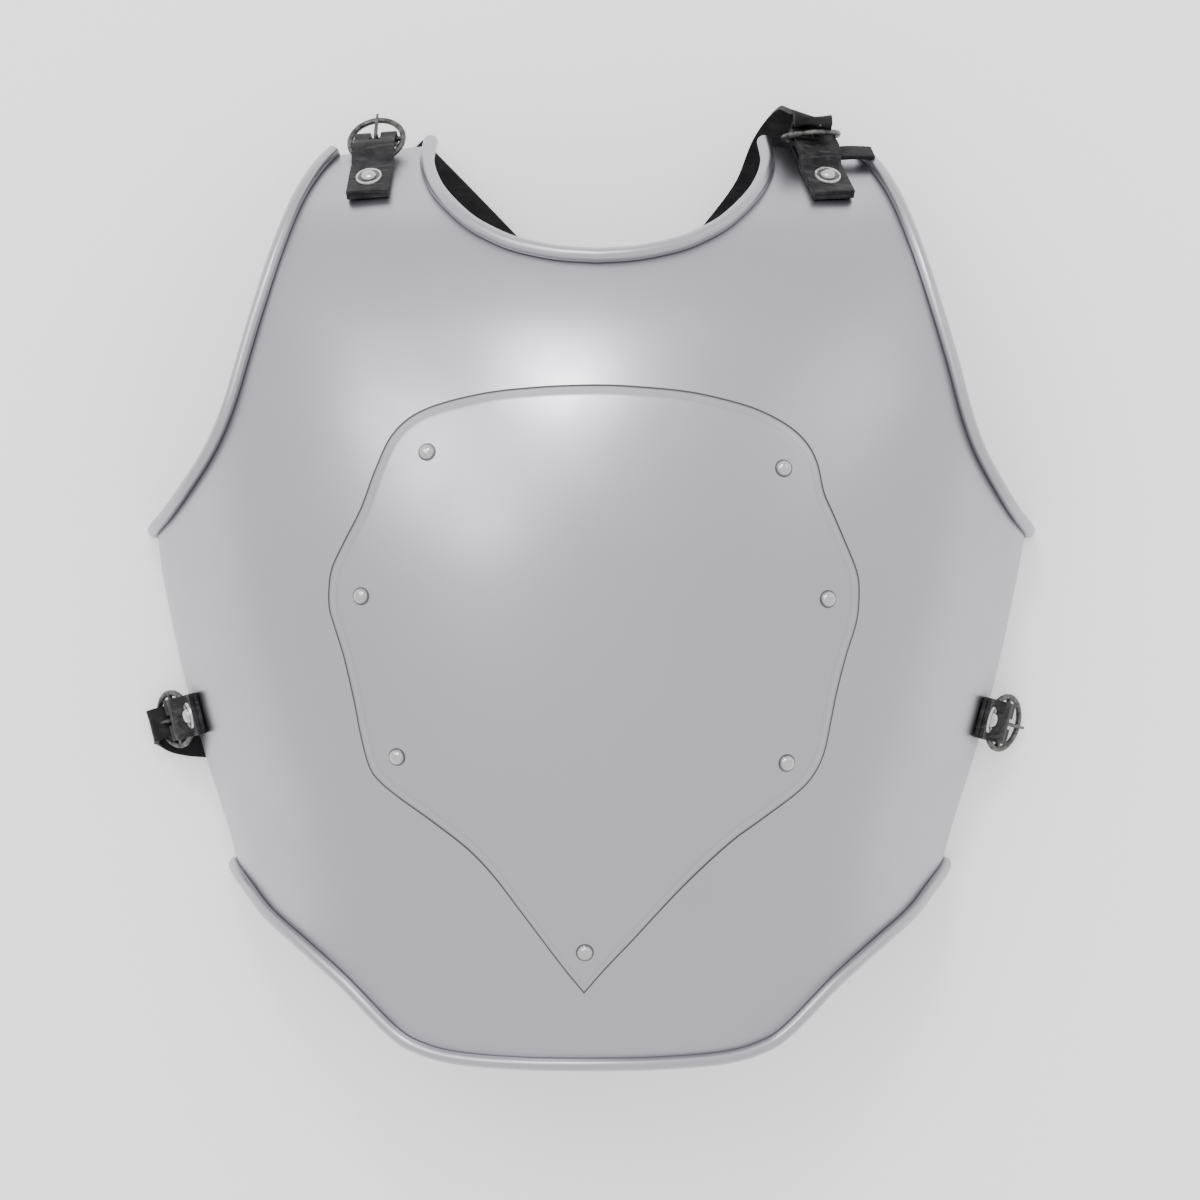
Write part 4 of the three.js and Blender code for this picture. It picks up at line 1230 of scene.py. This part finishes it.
@dataclass
class BuckleMaker:
    """Builds the pieces of a buckle and its chape.

    Attributes:
        leather: thickness of the chape's leather.
        skin: part of that thickness left off, so that the layers stay apart.
        width: width of the chape.
        columns: vertices across the chape.
        bulge, bulge_reach: where along it the leather wrinkles, and how far from there.
        wrinkle: height of the wrinkles.
        waves: height, fineness along and across, and shift of each kind of wrinkle.
        curl, curl_power: drop of the chape's sides and how suddenly they drop.
        edge_wander, edge_fineness: share by which the sides wander, and how often.
        upper_ease: how quickly the wrinkles begin past the fold.
        ring_radius: radius of the ring's middle line.
        wire: radius of the ring's wire.
        bar: radius of its bar.
        eye_gap: room round the bar.
        eye, eye_wire: radius of the tongue's eye and of its wire.
        pin: (x, z) places along the tongue.
        pin_steps: steps along the tongue.
        slot_width, slot_back: size of the slot that frees the tongue.
        sunk: depth that the washer and the rivet sink into the leather.
        foot: height of the rivet's tail.
        rivet, washer: makers of the rivet and of its washer.
    """

    leather: float = 2.3
    skin: float = 0.15
    width: float = 20.0
    columns: int = 17
    bulge: float = 10.5
    bulge_reach: float = 6.5
    wrinkle: float = 0.42
    waves: tuple = ((0.9, 0.9, 1.3, 0.0), (0.35, 2.6, 2.2, 7.0))
    curl: float = 0.18
    curl_power: int = 6
    edge_wander: float = 0.02
    edge_fineness: float = 0.25
    upper_ease: float = 8.0
    ring_radius: float = 12.9
    wire: float = 1.4
    bar: float = 1.25
    eye_gap: float = 0.4
    eye: float = 2.5
    eye_wire: float = 0.9
    pin: tuple[Pair, ...] = ((0, 2.5), (4, 2.85), (8.5, 2.85), (12.4, 2.45), (15.3, 2.3))
    pin_steps: int = 8
    slot_width: float = 6.0
    slot_back: float = 5.0
    sunk: float = 0.1
    foot: float = -3.0
    rivet: Rivet = field(default_factory=Rivet)
    washer: Washer = field(default_factory=Washer)

    def fold(self, buckle: Buckle) -> list[Vector]:
        """Middle line of the leather, out along its under layer, round the bar and back on top."""
        path, bar, steps = buckle.path, buckle.bar, 8
        under, over = [], []
        for k, (s, h) in enumerate(path):
            a = path[max(0, k - 1)]
            b = (*path, bar)[k + 1]
            angle = math.atan2(b[1] - a[1], b[0] - a[0])
            side = Vector((-math.sin(angle), 0.0, math.cos(angle))) * (self.leather / 2)
            under.append(Vector((s, 0, h)) - side)
            over.append(Vector((s, 0, h)) + side)
        lead = math.atan2(bar[1] - path[-1][1], bar[0] - path[-1][0])
        radius = self.bar + self.eye_gap + self.leather / 2
        turns = (polar(radius, lead - QUARTER + math.pi * k / steps) for k in range(steps + 1))
        nose = [Vector((bar[0] + x, 0.0, bar[1] + z)) for x, z in turns]
        return even_points(fine_line([*under, *nose, *over[::-1]], steps, True), 1.0)

    def wrinkled(self, s: float, share: float, seed: int) -> float:
        """Rise of the upper layer at a place along and across it."""
        bend = math.exp(-((s - self.bulge) / self.bulge_reach) ** 2)
        wave = sum(uneven(height, s * along, share * across, seed + shift)
                   for height, along, across, shift in self.waves)
        return bend * wave * self.wrinkle - self.curl * abs(share) ** self.curl_power

    def chape(self, buckle: Buckle) -> Mesh:
        """The folded leather strip, wrinkled over its bulge and slotted for the tongue."""
        line = self.fold(buckle)
        last = len(line) - 1
        bm = bmesh.new()
        seed = sum(map(ord, buckle.name)) % 97
        for vert, j, _ in add_grid(bm, self.columns, last + 1):
            share, middle = vert.co.x, line[j]
            along = (line[min(j + 1, last)] - line[max(j - 1, 0)]).normalized()
            out = Vector((along.z, 0.0, -along.x))
            flank = math.copysign(3.0, share)
            edge = 1.0 + uneven(self.edge_wander, middle.x * self.edge_fineness, flank, seed)
            on_top = smooth_step(clamp((j / last - 0.5) * self.upper_ease, 0.0, 1.0))
            lift = self.wrinkled(middle.x, share, seed) * on_top
            vert.co = Vector((middle.x, share * edge * self.width / 2, middle.z)) + out * lift
        middles = {face: face.calc_center_median() for face in bm.faces}
        slot = [face for face, middle in middles.items()
                if abs(middle.y) < self.slot_width / 2 and middle.x > buckle.bar[0] - self.slot_back]
        bmesh.ops.delete(bm, geom=slot, context="FACES")
        return bm

    def ring(self, buckle: Buckle) -> Mesh:
        """The ring and its bar, slightly uneven as forged wire is."""
        bm = wire_ring(self.ring_radius, self.wire, sides=16, steps=80)
        bar = bmesh.new()
        bmesh.ops.create_cone(bar, cap_ends=True, segments=20, radius1=self.bar, radius2=self.bar,
                              depth=2 * self.ring_radius)
        move(bar, Matrix.Rotation(QUARTER, 4, "X"))
        merge_into(bm, bar)
        wobble(bm, amount=0.12, scale=0.35)
        move(bm, buckle.at_bar(buckle.ring_turn))
        return bm

    def tongue(self, buckle: Buckle) -> Mesh:
        """The tongue: an eye round the bar and a tapered pin bent down on to the ring."""
        bm = wire_ring(self.eye, self.eye_wire, sides=12, steps=32)
        move(bm, Matrix.Rotation(QUARTER, 4, "X"))
        path = fine_line([Vector((x, 0, z)) for x, z in self.pin], self.pin_steps, False)
        radii = [taper((path[-1] - p).length, k / (len(path) - 1)) for k, p in enumerate(path)]
        merge_into(bm, tube(path, radii))
        flip = Matrix.Rotation(math.pi if buckle.tongue_side < 0 else 0.0, 4, "X")
        move(bm, buckle.at_bar(buckle.ring_turn + buckle.tongue_lift) @ flip)
        return bm

    def make(self, buckle: Buckle) -> None:
        """Build and place the chape, its rivet and washer, the ring and the tongue."""
        name, local = buckle.name, buckle.frame()
        chape = Piece(f"{name}_leather", self.chape(buckle), CHAPE_LEATHER, f"{name}_chape",
                      local=local, closed=False).place()
        leather_modifiers(chape, self.leather - self.skin)
        seat = buckle.path[0][1] + self.leather - self.sunk
        head = self.rivet.build(seat + self.washer.recess, self.foot)
        wobble(head, amount=0.14, scale=0.8)
        for piece, mesh, finish, node, body in (
            ("washer", self.washer.build(seat, self.sunk), WASHER_STEEL, "rivet", PLATE_BODY),
            ("rivet_head", head, RIVET_STEEL, "rivet", PLATE_BODY),
            ("ring_wire", self.ring(buckle), BUCKLE_STEEL, "ring", PLATE_BODY),
            ("tongue_pin", self.tongue(buckle), BUCKLE_STEEL, "tongue", buckle.pin_body),
        ):
            Piece(f"{name}_{piece}", mesh, finish, f"{name}_{node}", body, local).place()


# --- straps

@dataclass(frozen=True)
class StrapRow:
    """One place of a strap's middle line with the direction of its width.

    Attributes:
        place: x, y and z, or s, a and h in a buckle's frame.
        wide: direction of the width.
        width: width, or 0 for the strap's own.
        buckle: name of the buckle whose frame the place is in.
    """

    place: Triple
    wide: Triple
    width: float = 0.0
    buckle: str = ""


def at_buckle(buckle: str, *rows: tuple) -> tuple[StrapRow, ...]:
    """Rows in a buckle's frame."""
    return tuple(StrapRow(place, wide, width, buckle) for place, wide, width in rows)


def on_plate(*rows: tuple) -> tuple[StrapRow, ...]:
    """Rows in the maker's frame: x, y and z, and the x and y of the width's direction."""
    return tuple(StrapRow(row[:3], (*row[3:], 0)) for row in rows)


HIP_WIDE = (-0.26, 0.97, 0.0)
LOOP_WIDE = (-0.98, -0.02, 0.22)
TAIL_WIDE = (-0.19, 0.59, -0.79)
STRAP_A = (
    *at_buckle(
        "hip_left",
        ((12.4, 0, 1.6), HIP_WIDE, 16), ((16, 0, 1.7), HIP_WIDE, 16), ((21, 0, 1.8), HIP_WIDE, 16),
        ((25, 0, 3.2), HIP_WIDE, 16), ((26.7, 0, 7.4), HIP_WIDE, 15), ((27.4, 0, 12.4), HIP_WIDE, 15),
        ((30.6, 0.5, 16.9), HIP_WIDE, 15.5), ((35.6, 1.5, 15.6), HIP_WIDE, 16),
        ((37.4, 3, 12), (-0.24, 0.97, 0), 16)),
    *on_plate(
        (-201, 153, 1.4, -0.15, 1), (-190, 151, 1.2, -0.2, 1), (-170, 152, 1.2, -0.35, 0.95),
        (-135, 168, 1.2, -0.52, 0.85), (-90, 205, 1.2, -0.66, 0.75), (-30, 273, 2.2, -0.74, 0.67),
        (12, 326.4, 2.8, -0.78, 0.63), (38, 360, 1.6, -0.79, 0.61), (61, 390, 2.5, -0.79, 0.61),
        (79, 414, 9, -0.8, 0.6), (88.5, 436, 19, -0.86, 0.5), (99.5, 448, 33, -0.93, 0.33)),
    *at_buckle(
        "shoulder_right",
        ((28.9, 2.4, 18.2), (-0.95, 0.3, 0), 0), ((26.2, 2.3, 19.6), (-0.95, 0.29, 0), 19),
        ((24.4, 2.1, 18.4), (-0.95, 0.27, 0.02), 18), ((25.2, 1.8, 16.6), (-0.96, 0.22, 0.08), 17),
        ((27, 1.5, 15.4), (-0.97, 0.14, 0.14), 16.4), ((29.4, 1, 14.2), (-0.98, 0.06, 0.2), 16.2),
        ((33.9, 0, 12.3), LOOP_WIDE, 16), ((36.2, -0.2, 8.3), LOOP_WIDE, 16),
        ((35.2, -0.2, 4), LOOP_WIDE, 16), ((32.6, -0.1, 1.4), LOOP_WIDE, 16),
        ((28.7, 0.2, 0.5), LOOP_WIDE, 16), ((22.7, 0.6, 0.8), LOOP_WIDE, 16),
        ((15.7, 1.1, 1.1), LOOP_WIDE, 16)),
)
STRAP_A_TAIL = at_buckle(
    "shoulder_right",
    ((21.5, 7.7, 2.7), TAIL_WIDE, 0), ((21, 0.7, 2.8), TAIL_WIDE, 0), ((19.8, -9.3, 3.5), TAIL_WIDE, 0),
    ((19, -17.3, 4.4), TAIL_WIDE, 0), ((18.2, -28.4, 4.2), TAIL_WIDE, 0),
)
STRAP_B = on_plate(
    (172, 176, 1.2, -0.62, -0.78), (120, 214, 1.2, -0.62, -0.78), (60, 269, 1.8, -0.7, -0.71),
    (30, 304, 4.6, -0.72, -0.69), (12, 326.4, 5.6, -0.74, -0.67), (-6, 347, 4.6, -0.74, -0.67),
    (-43.5, 387.5, 1.2, -0.74, -0.67), (-79, 424, 1.2, -0.72, -0.69), (-88, 433, 1.2, -0.72, -0.69),
)


@dataclass
class Harness:
    """The two back straps and the rivet where they cross.

    Attributes:
        leather: thickness of the straps.
        width: width of the straps.
        tail_width: width of the narrowed end at the shoulder.
        row_steps: steps between two rows of a table.
        columns: steps across a strap.
        probe: part of a row by which a strap's direction is found.
        ripple, ripple_along, ripple_across: height of its unevenness and how fine it is.
        rivet_head, rivet_shank: radii of the crossing rivet.
        rivet_tail: thickness of its lower head.
        rivet_seat, rivet_dome: where its dome starts and how high it is.
    """

    leather: float = 2.2
    width: float = 20.0
    tail_width: float = 9.5
    row_steps: int = 10
    columns: int = 14
    probe: float = 0.02
    ripple: float = 0.12
    ripple_along: float = 1.7
    ripple_across: float = 1.5
    rivet_head: float = 3.4
    rivet_shank: float = 1.5
    rivet_tail: float = 0.5
    rivet_seat: float = 7.0
    rivet_dome: float = 1.4

    def settled(self, rows: Iterable[StrapRow]) -> list[Vector]:
        """Each row's place in the maker's frame."""
        frames = {buckle.name: buckle.frame() for buckle in BUCKLES}
        return [frames[row.buckle] @ Vector(row.place) if row.buckle else Vector(row.place) for row in rows]

    def band(self, rows: Sequence[StrapRow], own_width: float) -> Mesh:
        """A flat band swept along a table of places.

        Args:
            rows: the table.
            own_width: width where the table gives none.

        Returns:
            An open strip, whose thickness a modifier adds.
        """
        places = self.settled(rows)
        wides = [Vector(row.wide) for row in rows]
        spans = [Vector((row.width or own_width, 0, 0)) for row in rows]
        last = len(rows) - 1
        bm = bmesh.new()
        verts = bmesh.ops.create_grid(bm, x_segments=self.columns, y_segments=last * self.row_steps,
                                      size=1.0)["verts"]
        for vert in verts:
            share = vert.co.x
            at = (vert.co.y + 1.0) / 2.0 * last
            along = (curve_point(places, min(at + self.probe, last), True)
                     - curve_point(places, max(at - self.probe, 0.0), True)).normalized()
            wide = curve_point(wides, at, True)
            wide = (wide - along * wide.dot(along)).normalized()
            half = curve_point(spans, at, False).x / 2
            lift = uneven(self.ripple, at * self.ripple_along, share * self.ripple_across, 3.0)
            vert.co = curve_point(places, at, True) + wide * (share * half) + along.cross(wide) * lift
            vert.co.z = max(self.leather / 2, vert.co.z)
        return bm

    def crossing_rivet(self) -> Mesh:
        """The rivet through both straps: flat below and domed above."""
        head, shank, tail, seat = self.rivet_head, self.rivet_shank, self.rivet_tail, self.rivet_seat
        profile = [(0.0, 0.0), (head, 0.0), (head, tail), (shank, tail), (shank, seat), (head, seat)]
        return lathe(profile + dome(head, self.rivet_dome, seat, 8), 36)

    def make(self) -> None:
        """Build and place both straps, the tail and the rivet."""
        for name, rows, width, node in (
            ("crossed_strap", STRAP_A, self.width, "back_strap_a"),
            ("crossed_strap_tail", STRAP_A_TAIL, self.tail_width, "back_strap_a"),
            ("free_strap", STRAP_B, self.width, "back_strap_b"),
        ):
            made = Piece(name, self.band(rows, width), STRAP_LEATHER, node, closed=False).place()
            leather_modifiers(made, self.leather)
        Piece("strap_crossing_rivet", self.crossing_rivet(), RIVET_STEEL, "strap_cross_rivet",
              local=Matrix.Translation(CROSSING)).place()


# --- the studio

@dataclass(frozen=True)
class SoftLight:
    """A large rectangular light.

    Attributes:
        name: its name.
        place: where it stands, in metres.
        aim: what it points at.
        size: its width and height.
        power: its power in watts.
    """

    name: str
    place: Triple
    aim: Triple
    size: Pair
    power: float

    def make(self) -> None:
        """Add the light."""
        data = bpy.data.lights.new(self.name, "AREA")
        data.shape = "RECTANGLE"
        data.size, data.size_y = self.size
        data.energy = self.power
        lamp = add_object(self.name, data)
        lamp.location = self.place
        direction = Vector(self.aim) - Vector(self.place)
        lamp.rotation_euler = direction.to_track_quat("-Z", "Y").to_euler()


@dataclass
class Studio:
    """A pale floor, soft lights, an even surround and the camera straight above.

    Attributes:
        lights: the lights.
        surround, surround_strength: colour and strength of the light from all round.
        floor_size: half of the floor's width.
        floor_shade, floor_glow: the floor's colour and the light that it gives itself.
        camera_height: height of the camera.
        field_width: width that it sees at the floor.
        sensor: width of its sensor, in millimetres.
        camera_aim: (x, y) under it in the maker's frame.
    """

    lights: tuple[SoftLight, ...] = (
        SoftLight("key", (-0.26, 1.6, 2.1), (-0.02, 0.1, 0.1), (0.4, 0.4), 17.0),
        SoftLight("left", (-1.25, 1.0, 2.1), (-0.05, 0.0, 0.1), (0.8, 1.7), 13.0),
        SoftLight("right", (2.0, 1.2, 1.6), (0.0, 0.0, 0.1), (1.0, 1.2), 3.0),
    )
    surround: Triple = (0.99, 0.99, 1.0)
    surround_strength: float = 1.45
    floor_size: float = 4.0
    floor_shade: float = 0.96
    floor_glow: float = 0.35
    camera_height: float = 2.5
    field_width: float = 0.582
    sensor: float = 36.0
    camera_aim: Pair = (4.85, 217.0)

    def floor(self) -> None:
        """Lay the floor."""
        bm = bmesh.new()
        bmesh.ops.create_grid(bm, x_segments=1, y_segments=1, size=self.floor_size)
        made = add_object("floor", finished_mesh("floor", bm))
        material, _, _ = new_material("pale_floor", {
            "Base Color": (self.floor_shade, self.floor_shade, self.floor_shade, 1.0), "Roughness": 0.9,
            "Emission Color": (1.0, 1.0, 1.0, 1.0), "Emission Strength": self.floor_glow,
        })
        made.data.materials.append(material)

    def world(self) -> None:
        """Give the scene an even pale surround."""
        world = bpy.data.worlds.new("surround")
        world.use_nodes = True
        back = next(n for n in world.node_tree.nodes if n.type == "BACKGROUND")
        Tree(world.node_tree).feed(back, {"Color": (*self.surround, 1.0), "Strength": self.surround_strength})
        bpy.context.scene.world = world

    def camera(self) -> None:
        """Hang the camera straight above the plate."""
        data = bpy.data.cameras.new("camera")
        data.sensor_width = self.sensor
        data.lens = self.sensor * self.camera_height / self.field_width
        made = add_object("camera", data)
        aim = (Vector((*self.camera_aim, 0.0)) + ORIGIN) * MM
        made.location = (aim.x, aim.y, self.camera_height)
        bpy.context.scene.camera = made

    def make(self) -> None:
        """Set up the whole studio."""
        self.floor()
        self.world()
        for light in self.lights:
            light.make()
        self.camera()


# --- the whole

def make_placard() -> None:
    """Build and place the placard and its rivets."""
    placard, rivet, foot = Placard(), Rivet(), -2.7
    Piece("placard_plate", placard.build(), PLATE_STEEL, "placard").place()
    for k, (x, y) in enumerate(placard.rivets, start=1):
        local = FORM.frame_at(FORM.plan_angle(x, y), y, Vector((1, 0, 0)))
        Piece(f"placard_dome_{k}", rivet.build(placard.top, foot), RIVET_STEEL, f"placard_rivet_{k}",
              local=local).place()


def main() -> None:
    """Set up the studio, then build every piece in order."""
    logging.basicConfig(level=logging.INFO, format="%(message)s")
    Studio().make()
    Piece("shell_plate", Shell().build(), PLATE_STEEL, "breast_shell").place()
    make_placard()
    maker = BuckleMaker()
    for buckle in BUCKLES:
        maker.make(buckle)
    Harness().make()


if __name__ == "__main__":
    main()
